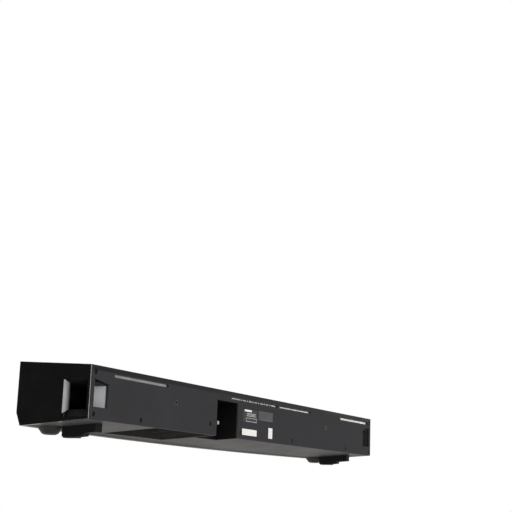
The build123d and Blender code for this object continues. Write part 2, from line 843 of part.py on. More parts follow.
def bass_flange():
    """Round pressed flange."""
    plate = Pos(0, 0, -bass_flange_thick / 2) * Cylinder(bass_flange_r, bass_flange_thick)
    for place in bass_screw_places():
        plate -= place * Cylinder(board_screw_r + screw_gap, spare)
    return plate


def front_driver_place(x):
    """Front driver's place: its flange lies flush in the baffle."""
    return front_plane(x, front_driver_z, front_set + front_driver_set).location


def bass_driver_place():
    """Bass driver's place: facing down, above its ring."""
    return under_plane(bass_x, bass_y).location * Pos(0, 0, -bass_seat)


def woofer_grille():
    """Slotted panel below the bass driver."""
    panel = Pos(0, 0, -bass_panel_thick / 2 - bass_panel_recess)
    panel *= Box(bass_panel_width, bass_panel_depth, bass_panel_thick)
    column = bass_panel_width / bass_slot_columns
    pitch = bass_panel_depth / (bass_slot_rows + 1)
    for place in GridLocations(column, pitch, bass_slot_columns, bass_slot_rows):
        panel -= place * Box(column - 2 * bass_slot_width, bass_slot_width, spare)
    return under_plane(bass_x, bass_panel_y).location * panel


def driver_screws():
    """Screws through the flanges of all the drivers."""
    group = Part()
    one = screw(small_head_r, small_head_t, board_screw_r, front_flange_thick + baffle_thick)
    for x in front_driver_x:
        for place in flange_screw_places(front_flange_half):
            group += front_driver_place(x) * place * one
    return group


# ---------------------------------------------------------------- corner ports
def duct_outline(run):
    """Plan of the port: a pocket in the corner, and a duct that slants away for a given run."""
    step = run / math.sqrt(2)
    inner_x = port_rear_x - trim_thick
    return [
        (half + spare, -port_side_front), (duct_front_x, -port_side_front),
        (duct_front_x - step, -port_side_front - step), (inner_x - step, -duct_inner_y - step),
        (inner_x, -duct_inner_y), (inner_x, spare), (half + spare, spare),
    ]


def roof_line(lift):
    """Roof of the port in (x, z), from the side window inward."""
    at_window, past_flare, at_wall = [z + lift for z in duct_roof]
    return [
        (half + spare, at_window), (inner_half, at_window), (duct_front_x, past_flare),
        (port_rear_x, at_wall), (0, at_wall),
    ]


def port_duct():
    """Moulded corner port: a flared pocket behind the windows and a slanting duct."""
    hollow = slab(roof_line(0) + [
        (0, duct_floor), (duct_front_x, duct_floor), (inner_half, flare_floor), (half + spare, flare_floor),
    ], -mid_depth, spare)
    body = slab(roof_line(duct_wall) + [
        (0, duct_floor - duct_wall), (duct_front_x, duct_floor - duct_wall),
        (inner_half - flare_foot, flare_base), (half + spare, flare_base),
    ], -mid_depth, spare)
    plan = offset(make_face(Polyline(duct_outline(duct_run), close=True)), duct_wall, kind=Kind.INTERSECTION)
    bore = make_face(Polyline(duct_outline(duct_run + spare), close=True))
    duct = extrude(plan, amount=rear_height) & body
    duct -= extrude(bore, amount=rear_height) & hollow
    vane = Box(vane_reach + duct_wall, vane_thick, rear_height)
    corner = Pos(inner_half, -wall, rear_height / 2) * Rot(0, 0, 45)
    duct += corner * Pos(-vane_reach / 2, 0, 0) * vane & hollow
    duct &= block(0, inner_half, -mid_depth, -wall, -spare, rear_height)
    low_screw = rear_screw_places[0]
    room = boss_r + fit_gap
    return duct - block(
        low_screw[0] - room, half, -wall - boss_length - fit_gap, 0, -spare, low_screw[1] + room)


def port_trim():
    """Two bright plates that line the port behind its windows."""
    edge_x = half - trim_edge_in
    front_points = [
        (duct_front_x, duct_floor), (edge_x, trim_edge[0]), (edge_x, trim_edge[1]), (duct_front_x, duct_roof[1])]
    front_plate = slab(front_points, -port_side_front, -port_side_front + trim_thick)
    inner_x = port_rear_x - trim_thick
    inner_plate = block(inner_x, port_rear_x, -duct_inner_y, -trim_thick / 3, port_rear_low, duct_roof[2])
    inner_plate += block(inner_x, port_rear_x, -duct_inner_y, -wall, duct_floor, duct_roof[2])
    return front_plate + inner_plate


def end_cheek():
    """Glossy end plate with the port's side window."""
    plate = cabinet_form(0, 0, half) & block(shell_half, half, -mid_depth, spare, -spare, rear_height + spare)
    upright = plate.edges().filter_by(Axis.Z).sort_by(Axis.Y)[-2:].sort_by(Axis.X)[-1]
    plate = fillet(upright, cheek_edge_r)
    outline = plate.faces().sort_by(Axis.X)[-1].edges()
    plate = fillet(outline, cheek_soft_r)
    window = block(shell_half - 1, half + 1, -port_side_front, -port_side_rear, port_side_low, port_side_high)
    return plate - window


# ---------------------------------------------------------------- sockets
def rca_jacks():
    """Three round phono sockets."""
    group = Part()
    back = -bay_depth - bay_wall
    for x in rca_places:
        body = block(
            x - jack_body / 2, x + jack_body / 2, back - jack_board_gap, back,
            rca_z - jack_body / 2, rca_z + jack_body / 2)
        shell = rear_pin(x, rca_z, rca_shell_r, back, -bay_depth + rca_reach)
        group += body + shell - rear_pin(x, rca_z, rca_bore_r, -bay_depth, -bay_depth + rca_reach + 1)
    return group


def optical_jack():
    """Square optical socket with a shallow mouth."""
    x, z = optical_place
    back = -bay_depth - bay_wall
    side = jack_body / 2
    body = block(x - side, x + side, back - jack_board_gap, back, z - side, z + side)
    nose = side - nose_step
    body += block(x - nose, x + nose, back, -bay_depth + nose_reach, z - nose, z + nose)
    mouth = nose - nose_wall
    return body - block(x - mouth, x + mouth, -bay_depth - mouth_depth, 0, z - mouth, z + mouth)


def power_inlet():
    """Two-pin mains inlet."""
    x, z = inlet_place
    back = -bay_depth - bay_wall
    wide = inlet_width / 2
    tall = inlet_height / 2
    body = block(x - wide, x + wide, back - jack_board_gap, back, z - tall, z + tall)
    nose_wide = wide - inlet_step
    nose_tall = tall - inlet_step
    body += block(x - nose_wide, x + nose_wide, back, -bay_depth + inlet_reach, z - nose_tall, z + nose_tall)
    mouth = SlotOverall(inlet_width - 2 * inlet_wall, inlet_height - 2 * inlet_wall)
    body -= Pos(x, -bay_depth + inlet_step, z) * extrude(Plane.XZ * mouth, amount=inlet_depth)
    for side in (1, -1):
        body += rear_pin(x + side * inlet_width / 6, z, pin_r, back - jack_board_gap, -bay_depth)
    return body


def jack_board():
    """Board that the sockets are soldered to."""
    back = -bay_depth - bay_wall - jack_board_gap
    return block(bay_right, bay_left, back - board_thick, back, rca_z - jack_body, optical_place[1] + jack_body)


# ---------------------------------------------------------------- boards
def board(x, size):
    """Flat board with its screw holes, on its standoffs."""
    plate = Pos(0, 0, board_thick / 2) * Box(*size, board_thick)
    for place in board_corners(size):
        plate -= place * Cylinder(board_screw_r + screw_gap, spare)
    return plate, floor_plane(x, board_y).location * Pos(0, 0, standoff_height)


def power_board():
    """Power supply board with its capacitors."""
    plate, place = board(power_board_x, power_board_size)
    for x, y in capacitor_places:
        can = Pos(x, y, board_thick + capacitor_height / 2) * Cylinder(capacitor_r, capacitor_height)
        plate += can
    return place * plate


def transformer():
    """Wound transformer on the power board."""
    place = board(power_board_x, power_board_size)[1]
    core = Box(*transformer_size)
    core = chamfer(core.edges().filter_by(Axis.Z), 3)
    return place * Pos(*transformer_place, board_thick + transformer_size[2] / 2) * core


def heat_sink(width, depth, height):
    """Base plate with upright fins."""
    sink = Pos(0, 0, sink_base / 2) * Box(width, depth, sink_base)
    pitch = (width - sink_fin_thick) / (sink_fin_count - 1)
    for place in GridLocations(pitch, 1, sink_fin_count, 1):
        sink += place * Pos(0, 0, height / 2) * Box(sink_fin_thick, depth, height)
    return sink


def power_heat_sink():
    """Finned sink on the power board."""
    place = board(power_board_x, power_board_size)[1]
    return place * Pos(*power_sink_place, board_thick) * heat_sink(*power_sink_size)


def main_board():
    """Signal and amplifier board."""
    plate, place = board(main_board_x, main_board_size)
    for x, y, side in chip_places:
        plate += Pos(x, y, board_thick + chip_thick / 2) * Box(side, side, chip_thick)
    return place * plate


def amplifier_heat_sink():
    """Finned sink over the amplifier chip."""
    place = board(main_board_x, main_board_size)[1]
    amplifier_chip = chip_places[1]
    lift = board_thick + chip_thick
    return place * Pos(amplifier_chip[0], amplifier_chip[1], lift) * heat_sink(*amplifier_sink_size)


def board_screws():
    """Screws that hold the boards."""
    group = Part()
    one = screw(small_head_r, small_head_t, board_screw_r, board_thick + standoff_height - board_screw_short)
    for x, size in ((power_board_x, power_board_size), (main_board_x, main_board_size)):
        place = floor_plane(x, board_y).location * Pos(0, 0, standoff_height + board_thick)
        for corner in board_corners(size):
            group += place * corner * one
    for side in (1, -1):
        place = top_plane(side * board_post_x(), button_y).location
        group += place * Pos(0, 0, -button_board_drop - board_thick) * Rot(180, 0, 0) * one
    return group


# ---------------------------------------------------------------- feet
def underside_space():
    """Everything above the underside, to cut the feet against."""
    return side_form(0, length)


def foot_block():
    """Block foot with a raised heel and a seat for its pad."""
    seat = -foot_clear + foot_pad_thick
    points = [
        (-foot_block_rear, 1), (-foot_block_rear, -foot_heel[0]), (-foot_step_y, -foot_heel[1]),
        (-foot_step_y - foot_step_run, -foot_step_z), (-foot_seat_y, seat),
        (-foot_block_front, seat), (-foot_block_front, 1),
    ]
    body = prism(points, foot_block_width / 2)
    body = chamfer(body.edges().filter_by(Axis.Z), foot_corner)
    return foot_drilled(Pos(foot_block_x, 0, 0) * body - underside_space(), foot_screw_spots()[0])


def foot_drilled(body, spot):
    """A foot with the hole and the recess for its screw."""
    plane = under_plane(*spot).location
    body -= plane * Cylinder(foot_screw_r + screw_gap, 4 * spare)
    return body - plane * Pos(0, 0, spare / 2 + foot_screw_seat) * Cylinder(foot_screw_head_r + fit_gap, spare)


def foot_pads():
    """Rubber pads under the front part of the block feet."""
    side = foot_block_width / 2 - foot_pad_margin
    pad = block(
        foot_block_x - side, foot_block_x + side, -foot_block_front + foot_pad_margin, -foot_seat_y,
        -foot_clear, -foot_clear + foot_pad_thick)
    return pad + mirrored(pad)


def front_foot():
    """Low cone-shaped foot near the front corner."""
    top = under_z(dome_y) + dome_overlap
    outline = Polyline([
        (0, 0, -dome_low), (dome_base_r, 0, -dome_low), (dome_edge_r, 0, -dome_low + dome_edge_rise),
        (dome_r, 0, under_z(dome_y)), (dome_r, 0, top), (0, 0, top),
    ], close=True)
    dome = revolve(make_face(outline), Axis.Z)
    return foot_drilled(Pos(dome_x, -dome_y, 0) * dome - underside_space(), foot_screw_spots()[1])


def foot_screws():
    """Screws up through the feet into the floor."""
    group = Part()
    one = screw(foot_screw_head_r, foot_screw_head_t, foot_screw_r, foot_screw_seat + foot_screw_rise)
    for x, depth in foot_screw_spots():
        group += under_plane(x, depth).location * Pos(0, 0, foot_screw_seat) * one
    return group


# ---------------------------------------------------------------- the set
pieces = {
    "lower_housing": lower_housing() - housing_floor_cut(),
    "rear_panel": rear_panel(),
    "top_cover": top_cover(),
    "front_baffle": front_baffle(),
    "grille_frame": grille_frame(),
    "front_grille": front_grille(),
    "end_cheek_right": end_cheek(),
    "end_cheek_left": mirrored(end_cheek()),
    "port_duct_right": port_duct(),
    "port_duct_left": mirrored(port_duct()),
    "port_trim_right": port_trim(),
    "port_trim_left": mirrored(port_trim()),
    "stiffener_rail": stiffener_rail(),
    "bracket_inserts": bracket_inserts(),
    "rear_screws": rear_screws(),
    "jack_board": jack_board(),
    "rca_jacks": rca_jacks(),
    "optical_jack": optical_jack(),
    "power_inlet": power_inlet(),
    "display_window": display_window(),
    "display_board": display_board(),
    "button_board": button_board(),
    "power_board": power_board(),
    "transformer": transformer(),
    "power_heat_sink": power_heat_sink(),
    "main_board": main_board(),
    "amplifier_heat_sink": amplifier_heat_sink(),
    "board_screws": board_screws(),
    "driver_screws": driver_screws(),
    "woofer_grille": woofer_grille(),
    "foot_block_right": foot_block(),
    "foot_block_left": mirrored(foot_block()),
    "foot_pads": foot_pads(),
    "front_foot_right": front_foot(),
    "front_foot_left": mirrored(front_foot()),
    "foot_screws": foot_screws(),
}
for index, name in enumerate(button_names):
    pieces[name] = button(index)
for number, x in enumerate(front_driver_x, start=1):
    place = front_driver_place(x)
    pieces[f"front_driver_{number}_basket"] = place * driver_basket(front_flange(), front_size)
    pieces[f"front_driver_{number}_magnet"] = place * driver_magnet(front_size)
    pieces[f"front_driver_{number}_suspension"] = place * driver_suspension(front_size)
    pieces[f"front_driver_{number}_cone"] = place * driver_cone(front_size)
pieces["bass_driver_basket"] = bass_driver_place() * driver_basket(bass_flange(), bass_size)
pieces["bass_driver_magnet"] = bass_driver_place() * driver_magnet(bass_size)
pieces["bass_driver_suspension"] = bass_driver_place() * driver_suspension(bass_size)
pieces["bass_driver_cone"] = bass_driver_place() * driver_cone(bass_size)

for name, piece in pieces.items():
    export_step(Pos(0, mid_depth / 2, foot_clear) * piece, f"parts/{name}.step")
print(len(pieces), "nodes")
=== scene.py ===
# %% [markdown]
# # Dressing a one-metre soundbar
#
# The bar itself comes ready-made: every shell, driver, screw and key is a solid
# that was drawn in millimetres in a CAD program. This lesson gives each of them
# the surface of the real thing, adds the few thin pieces that a CAD model
# leaves out, and sets up a small studio round it.
#
# Everything is in metres. The bar stands on the plane z = 0, its length runs
# along X, its bowed front faces -Y and its cable side faces +Y.

# %% Load the solids
import json
import math
import bmesh
import bpy
from mathutils import Matrix, Vector


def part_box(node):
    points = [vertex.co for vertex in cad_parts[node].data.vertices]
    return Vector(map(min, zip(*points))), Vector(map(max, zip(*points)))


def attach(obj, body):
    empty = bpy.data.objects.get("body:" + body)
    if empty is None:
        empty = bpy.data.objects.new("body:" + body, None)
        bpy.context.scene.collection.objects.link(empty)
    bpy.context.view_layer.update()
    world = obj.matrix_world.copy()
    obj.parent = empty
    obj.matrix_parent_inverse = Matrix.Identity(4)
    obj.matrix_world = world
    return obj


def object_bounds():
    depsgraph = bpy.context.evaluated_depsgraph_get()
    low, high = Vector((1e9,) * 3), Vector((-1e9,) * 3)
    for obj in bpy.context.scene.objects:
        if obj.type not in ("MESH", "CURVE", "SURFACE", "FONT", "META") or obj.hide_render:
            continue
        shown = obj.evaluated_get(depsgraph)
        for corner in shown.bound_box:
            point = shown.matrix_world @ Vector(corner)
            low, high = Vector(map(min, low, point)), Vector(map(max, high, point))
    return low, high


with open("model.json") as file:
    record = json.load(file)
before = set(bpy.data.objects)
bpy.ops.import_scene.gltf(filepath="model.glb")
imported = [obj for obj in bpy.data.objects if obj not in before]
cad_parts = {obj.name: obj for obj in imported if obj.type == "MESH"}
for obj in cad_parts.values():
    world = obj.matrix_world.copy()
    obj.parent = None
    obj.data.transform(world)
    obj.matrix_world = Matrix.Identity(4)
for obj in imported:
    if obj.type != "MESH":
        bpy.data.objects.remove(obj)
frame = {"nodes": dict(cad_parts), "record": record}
nodes = frame["nodes"]
CAD_LOW, CAD_HIGH = [Vector(corner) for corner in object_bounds()]
MM = 0.001
print("solids:", len(nodes), "size:", [round(v, 4) for v in CAD_HIGH - CAD_LOW])

# %% [markdown]
# ## Helpers for colour and for nodes
#
# A colour picked on a screen is an sRGB value, while Blender's shaders work
# with linear light. One function turns the hex code of a colour into linear
# numbers, so every colour below can be read, and checked, as a hex code.
#
# A material is a small graph of nodes. One function adds a node with its
# settings and feeds its inputs. Where an input is given another node, that
# node's result is linked to it, and where it is given a number, the number is
# set. The same feeding serves the shader that each new material brings along.

# %% Colour and node helpers
def to_linear(hex_code):
    """sRGB hex, such as #2b2c2e, to linear RGBA."""
    channels = [int(hex_code[i:i + 2], 16) / 255 for i in (1, 3, 5)]
    linear = [c / 12.92 if c <= 0.04045 else ((c + 0.055) / 1.055) ** 2.4 for c in channels]
    return (*linear, 1.0)


def feed(tree, node, **inputs):
    """Sets inputs by name, or by number as in _0, and links those that are given a node or an output."""
    for name, value in inputs.items():
        if name[0] == "_":
            target = node.inputs[int(name[1:])]
        else:
            wanted = name.replace("_", " ")
            target = next(socket for socket in node.inputs if socket.enabled and socket.name == wanted)
        if isinstance(value, bpy.types.Node):
            value = next(socket for socket in value.outputs if socket.enabled)
        if isinstance(value, bpy.types.NodeSocket):
            tree.links.new(value, target)
        else:
            target.default_value = value
    return node


def add(tree, kind, settings=None, **inputs):
    """Adds a node, sets its settings and feeds its inputs."""
    made = tree.nodes.new("ShaderNode" + kind)
    for name, value in (settings or {}).items():
        setattr(made, name, value)
    return feed(tree, made, **inputs)


def start_material(name, **shader_values):
    """A new material; returns it with its node tree and its Principled shader."""
    material = bpy.data.materials.new(name)
    material.use_nodes = True
    tree = material.node_tree
    return material, tree, feed(tree, tree.nodes["Principled BSDF"], **shader_values)


print("mid grey is", [round(v, 3) for v in to_linear("#808080")[:3]])

# %% [markdown]
# ## What most finishes share
#
# Nearly every finish on the bar needs a fine grain that breaks up the light, and
# a slow change of tone or gloss such as handling leaves. Both come from noise
# in object coordinates, so their scale is known: noise repeats about once per
# unit, and a grain of 1.2 mm is a scale of 1 / 0.0012. An image could do the
# same, but it would need a file and an unwrapped mesh.
#
# Noise keeps mostly between 0.3 and 0.7. That span is spread over two tones of
# the colour and over two levels of roughness, and a Bump node turns a grain
# into height, given in metres.

# %% Grain, place and finish
NOISE_LOW, NOISE_HIGH = 0.3, 0.7


def grain(tree, size, detail=2.0, stretch=(1, 1, 1)):
    """Noise with a grain of about size metres; stretch draws it out along an axis."""
    place = add(tree, "TexCoord")
    scaled = add(tree, "Mapping", Vector=place.outputs["Object"], Scale=stretch)
    return add(tree, "TexNoise", Vector=scaled, Scale=1 / size, Detail=detail, Roughness=0.55)


def place_on_solid(tree):
    """Where a point of the surface lies, as the outputs X, Y and Z in metres."""
    place = add(tree, "TexCoord")
    return add(tree, "SeparateXYZ", Vector=place.outputs["Object"]).outputs


def finish(
        tree, shader, tone, hexes, gloss, roughness, relief, depth,
        tone_high=NOISE_HIGH, gloss_span=(NOISE_LOW, NOISE_HIGH)):
    """Two tones by one pattern, an uneven gloss by a second and bumps by a third."""
    spread = add(tree, "MapRange", Value=tone, From_Min=NOISE_LOW, From_Max=tone_high)
    dark, light = [to_linear(hex_code) for hex_code in hexes]
    colour = add(tree, "Mix", {"data_type": "RGBA"}, Factor=spread, A=dark, B=light)
    rough = add(
        tree, "MapRange", Value=gloss, From_Min=gloss_span[0], From_Max=gloss_span[1],
        To_Min=roughness[0], To_Max=roughness[1])
    bump = add(tree, "Bump", Height=relief, Distance=depth)
    feed(tree, shader, Base_Color=colour, Roughness=rough, Normal=bump)


print("shared patterns ready")

# %% [markdown]
# ## Moulded plastic
#
# The shell, the lid, the ducts and the feet are injection-moulded ABS. The
# mould is spark-eroded, which leaves a fine even pitting of a few tenths of a
# millimetre. That pitting turns a highlight into a soft sheen. Modelled pits
# would need millions of faces, so a bump stands for them. They are too fine to
# show at this distance and are drawn as a 1.1 mm grain.
#
# ABS has an index of refraction of about 1.54. Its roughness is near 0.45 where
# the mould is textured, a little lower where hands have polished it, and up to
# 0.8 in a matt mould. Deep pits also swallow much of what a smooth skin would
# mirror, so most of these finishes mirror a share well below the usual 0.5.

# %% Moulded ABS in its several shades
HANDLED_PATCH = 90 * MM


def moulded_abs(name, hexes, roughness, grain_mm=1.1, pit_mm=0.04, mirrored=0.5):
    """Textured ABS: a slow change of tone, an uneven gloss and a fine pitting."""
    material, tree, shader = start_material(name, IOR=1.54, Specular_IOR_Level=mirrored)
    slow = grain(tree, HANDLED_PATCH, 3.0)
    fine = grain(tree, grain_mm * MM, 1.0)
    handled = add(tree, "MapRange", Value=slow, From_Min=NOISE_LOW, From_Max=NOISE_HIGH, To_Max=0.65)
    patchy = add(tree, "Math", {"operation": "MULTIPLY_ADD"}, _0=fine, _1=0.35, _2=handled)
    finish(tree, shader, slow, hexes, patchy, roughness, fine, pit_mm * MM, gloss_span=(0.1, 0.9))
    return material


# The shell and the rear panel are one charcoal plastic; the shell's tones are
# painted lighter, for the light that the underside gets from below.
shell_plastic_painted_lighter = moulded_abs("textured_abs_charcoal", ("#3a3a3c", "#404042"), (0.4, 0.52), mirrored=0.035)
rear_abs = moulded_abs("textured_abs_rear", ("#303032", "#353538"), (0.42, 0.54), mirrored=0.02)
# The lid and the inner frame are black; the frame's mould is the smoother one.
lid_abs = moulded_abs("textured_abs_black", ("#121214", "#161618"), (0.42, 0.54), mirrored=0.14)
frame_abs = moulded_abs("satin_abs_black", ("#171718", "#1b1b1c"), (0.38, 0.5))
# The ducts are plain black, and the feet matt with a coarser grain.
duct_abs = moulded_abs("plain_abs_black", ("#0f0f10", "#141415"), (0.45, 0.6), 2.0, mirrored=0.12)
foot_abs = moulded_abs("matt_abs_black", ("#09090a", "#0c0c0d"), (0.55, 0.68), 1.4, 0.06, 0.15)
# The keys feel soft, and the panel over the bass driver is a dull brown-black.
key_abs = moulded_abs("soft_touch_abs", ("#18181a", "#1c1c1e"), (0.5, 0.58), 0.9)
woofer_abs = moulded_abs("matt_abs_umber", ("#0b0908", "#0f0c0b"), (0.7, 0.8), 1.3, mirrored=0.03)
moulded = (shell_plastic_painted_lighter, rear_abs, lid_abs, frame_abs, duct_abs, foot_abs, key_abs, woofer_abs)
print("moulded finishes:", [material.name for material in moulded])

# %% [markdown]
# ## Painted shade on the mouldings
#
# The rear panel is one moulding, but the walls of its recesses are smooth and
# get no light, so they look black against its skin; that shade is painted into
# its finish. The underside of the shell gets a painted shade, darker and
# duller, along its bowed front edge. Painting either on a second solid would
# need new geometry. It is simpler to let the finish read its own place on the
# solid and change there.
#
# Each change is a mask from 0 to 1. The base colour is mixed towards another
# one by the mask, and the mirrored share falls with it.

# %% Painted shade on the rear panel and on the shell
# Depth of the painted shade behind the rear skin, and width of the painted shade along the front edge.
SKIN = 3.4 * MM
WIDTH_OF_PAINTED_SHADE = 42 * MM
# The front bows out by this much, and its lower edge is bevelled this far back.
FRONT_BOW = 31 * MM
BEVEL_DEPTH = 8.3 * MM


def painted_over(tree, shader, mask, hex_code):
    """Mixes the base colour towards another one, wholly where the mask is 1."""
    below = shader.inputs["Base Color"].links[0].from_socket
    colour = add(tree, "Mix", {"data_type": "RGBA"}, Factor=mask, A=below, B=to_linear(hex_code))
    feed(tree, shader, Base_Color=colour)


def painted_shade_behind_skin(material, skin_y):
    """Paints shade: turns a finish black and dull where a panel is recessed behind its outer skin."""
    tree = material.node_tree
    shader = tree.nodes["Principled BSDF"]
    across = place_on_solid(tree)["Y"]
    mask = add(
        tree, "MapRange", Value=across, From_Min=skin_y - SKIN, From_Max=skin_y - SKIN / 2,
        To_Min=1.0, To_Max=0.0)
    # Painted shade: near black in the recesses.
    painted_over(tree, shader, mask, "#0d0d0f")
    mirrored = shader.inputs["Specular IOR Level"].default_value
    feed(tree, shader, Specular_IOR_Level=add(tree, "MapRange", Value=mask, To_Min=mirrored, To_Max=0.06))


def painted_shade_front_strip(material):
    """Paints a shade, darker and duller, over a strip along the bowed front edge of the underside."""
    tree = material.node_tree
    shader = tree.nodes["Principled BSDF"]
    place = place_on_solid(tree)
    squared = add(tree, "Math", {"operation": "MULTIPLY"}, _0=place["X"], _1=place["X"])
    unbent = add(
        tree, "Math", {"operation": "MULTIPLY_ADD"},
        _0=squared, _1=-FRONT_BOW / CAD_HIGH.x ** 2, _2=place["Y"])
    edge_y = CAD_LOW.y + BEVEL_DEPTH
    mask = add(
        tree, "MapRange", Value=unbent, From_Min=edge_y, From_Max=edge_y + WIDTH_OF_PAINTED_SHADE,
        To_Min=1.0, To_Max=0.0)
    # Painted shade: near black towards the front edge.
    painted_over(tree, shader, mask, "#0a0a0b")
    mirrored = shader.inputs["Specular IOR Level"].default_value
    faded = add(tree, "MapRange", Value=mask, From_Max=0.9, To_Min=mirrored, To_Max=0.0)
    feed(tree, shader, Specular_IOR_Level=faded)


# Painted shade in the rear panel's recesses and along the shell's front edge.
painted_shade_behind_skin(rear_abs, CAD_HIGH.y)
painted_shade_front_strip(shell_plastic_painted_lighter)
print("black", round(SKIN / MM, 1), "mm behind the rear skin; dull strip", round(WIDTH_OF_PAINTED_SHADE / MM), "mm wide")

# %% [markdown]
# ## Polished end plates
#
# The two end plates are the glossy faces of the bar: ABS from a polished mould,
# in piano black. The colour is nearly nothing, so all that the eye gets is the
# reflection, a little under a twentieth of what stands opposite. One even gloss
# would look like glass. Faint wiping marks run across such a face, so the gloss
# varies along stretched noise, and a thin coat gives a second, sharper
# reflection.

# %% Polished ABS
def polished_abs(name):
    """Piano black with faint wiping marks."""
    material, tree, shader = start_material(name, IOR=1.54, Coat_Weight=0.2, Coat_Roughness=0.05)
    slow = grain(tree, 50 * MM, 3.0)
    wipes = grain(tree, 4 * MM, 2.0, (1, 0.15, 1))
    handled = add(tree, "MapRange", Value=slow, From_Min=NOISE_LOW, From_Max=NOISE_HIGH, To_Max=0.6)
    uneven = add(tree, "Math", {"operation": "MULTIPLY_ADD"}, _0=wipes, _1=0.4, _2=handled)
    finish(
        tree, shader, slow, ("#0a0a0b", "#0d0d0e"), uneven, (0.08, 0.2), wipes, 0.004 * MM,
        gloss_span=(0.1, 0.9))
    return material


cheek_gloss = polished_abs("polished_abs_piano_black")
print("gloss finish:", cheek_gloss.name)

# %% [markdown]
# ## Metals
#
# The solids have four kinds of bare metal. The strip behind the slots and the
# small inner screws are steel plated with zinc: bright, a little yellow, and
# faintly drawn along their length from rolling. The rear screws are black
# oxide, which hides most of the metal. The threaded inserts are turned brass
# that has gone dull, and the heat sinks are extruded aluminium with lines along
# the fins.
#
# A metal is a full reflector, so Metallic is 1 and the base colour is the
# reflection's own colour. The default index of refraction stays. Stretched
# noise in the gloss and in a low bump draws the lines, which show where they
# run, as an anisotropic highlight alone wouldn't.

# %% Metal finishes
def worked_metal(name, hexes, roughness, line_mm=0.8, stretch=(0.05, 1, 1)):
    """Metal with fine lines drawn out along one axis."""
    material, tree, shader = start_material(name, Metallic=1.0)
    lines = grain(tree, line_mm * MM, 2.0, stretch)
    slow = grain(tree, 30 * MM, 2.0)
    finish(tree, shader, slow, hexes, lines, roughness, lines, 0.01 * MM)
    return material


zinc = worked_metal("zinc_plated_steel", ("#a5a4a0", "#bab9b5"), (0.2, 0.32))
black_oxide = worked_metal("black_oxide_steel", ("#1c1c1e", "#2a2a2c"), (0.35, 0.5))
brass = worked_metal("turned_brass", ("#5f543d", "#736548"), (0.36, 0.5), 0.4, (1, 0.1, 1))
extruded = worked_metal("extruded_aluminium", ("#a9abad", "#c4c6c8"), (0.3, 0.42), 0.6, (1, 0.05, 1))
print("bare metals:", [material.name for material in (zinc, black_oxide, brass, extruded)])

# %% [markdown]
# ## Enamelled steel
#
# The bright plates in the ports and the drivers' baskets are steel under a
# stoved enamel or a powder coat. Such a coat flows before it sets and keeps a
# faint orange peel, about a millimetre from hump to hump, so its highlights
# waver a little. Its index of refraction is about 1.5. A magnet's ferrite ring
# and its plates have a skin of much the same kind, so they share the function.

# %% Enamel
def painted_steel(name, hexes, roughness, peel_mm=1.2, height_mm=0.03):
    """Powder coat: an even orange-peel skin over sheet steel."""
    material, tree, shader = start_material(name, IOR=1.5)
    peel = grain(tree, peel_mm * MM, 1.0)
    slow = grain(tree, 60 * MM, 2.0)
    finish(tree, shader, slow, hexes, peel, roughness, peel, height_mm * MM)
    return material


port_paint = painted_steel("silver_grey_enamel", ("#c4c8cb", "#d2d5d8"), (0.32, 0.42))
basket_paint = painted_steel("black_stoved_enamel", ("#131314", "#1a1a1b"), (0.35, 0.5))
ferrite = painted_steel("ferrite_and_plated_plates", ("#26262a", "#37373b"), (0.45, 0.6), 0.8)
print("enamels:", [material.name for material in (port_paint, basket_paint, ferrite)])

# %% [markdown]
# ## Dark edges and painted shade on the port plates
#
# The port plates turn dark grey over their last few millimetres, where they
# meet the rear panel, as the panel's own charcoal wall does. Towards the inner
# side of the deep front plate they carry a painted shade, where a rounded flare
# would curve away into the duct. Vertex colours could say where, but a solid has
# few vertices on a flat face. Here too the finish reads its own place.

# %% Masks on the port plates
# Two depths behind the rear skin, and one distance in from the end of the bar.
PANEL_EDGE = (3.5 * MM, 5.5 * MM)
FRONT_PLATE = (40 * MM, 45 * MM)
INNER_SIDE = (5 * MM, 14 * MM)


def dark_edge_and_painted_shade(material, skin_y, end_x):
    """Darkens the plates to charcoal at the panel's edge, and paints shade on the inner side of the deep
    front plate.
    """
    tree = material.node_tree
    place = place_on_solid(tree)
    at_panel = add(
        tree, "MapRange", Value=place["Y"],
        From_Min=skin_y - PANEL_EDGE[1], From_Max=skin_y - PANEL_EDGE[0])
    deep = add(
        tree, "MapRange", Value=place["Y"],
        From_Min=skin_y - FRONT_PLATE[1], From_Max=skin_y - FRONT_PLATE[0], To_Min=1.0, To_Max=0.0)
    outward = add(tree, "Math", {"operation": "ABSOLUTE"}, _0=place["X"])
    inner = add(
        tree, "MapRange", Value=outward, From_Min=end_x - INNER_SIDE[1], From_Max=end_x - INNER_SIDE[0],
        To_Min=1.0, To_Max=0.3)
    mask = add(tree, "Math", {"operation": "MULTIPLY_ADD"}, _0=deep, _1=inner, _2=at_panel)
    # Dark grey: charcoal at the panel's edge, painted shade on the front plate's inner side.
    painted_over(tree, tree.nodes["Principled BSDF"], mask, "#2a2b2e")


# Charcoal at the rear panel's edge and painted shade on the inner side of the deep front plate.
dark_edge_and_painted_shade(port_paint, CAD_HIGH.y, CAD_HIGH.x)
print("enamel thins out over the last", round(PANEL_EDGE[1] / MM, 1), "mm")

# %% [markdown]
# ## Perforated steel in front
#
# The front is one sheet of thin steel, punched with round holes in staggered
# rows and then powder coated in black. The punching is a pattern: the distance
# to the nearest hole centre, in two grids that are half a step apart.
#
# Real holes are about 1.5 mm wide at a step of 2.5 mm, and at one metre of bar
# they would blur into grey. They are drawn at twice that size and step, so that
# the rows show. Cutting some thousands of them would cost far more than a
# pattern does. Rows run up and along the bar, so X and Z are enough to place
# them, and the sheet's own bow doesn't matter.

# %% Punched steel
STEP = 5.0 * MM
HOLE_RADIUS = 1.5 * MM
HOLE_DEPTH = 0.8 * MM


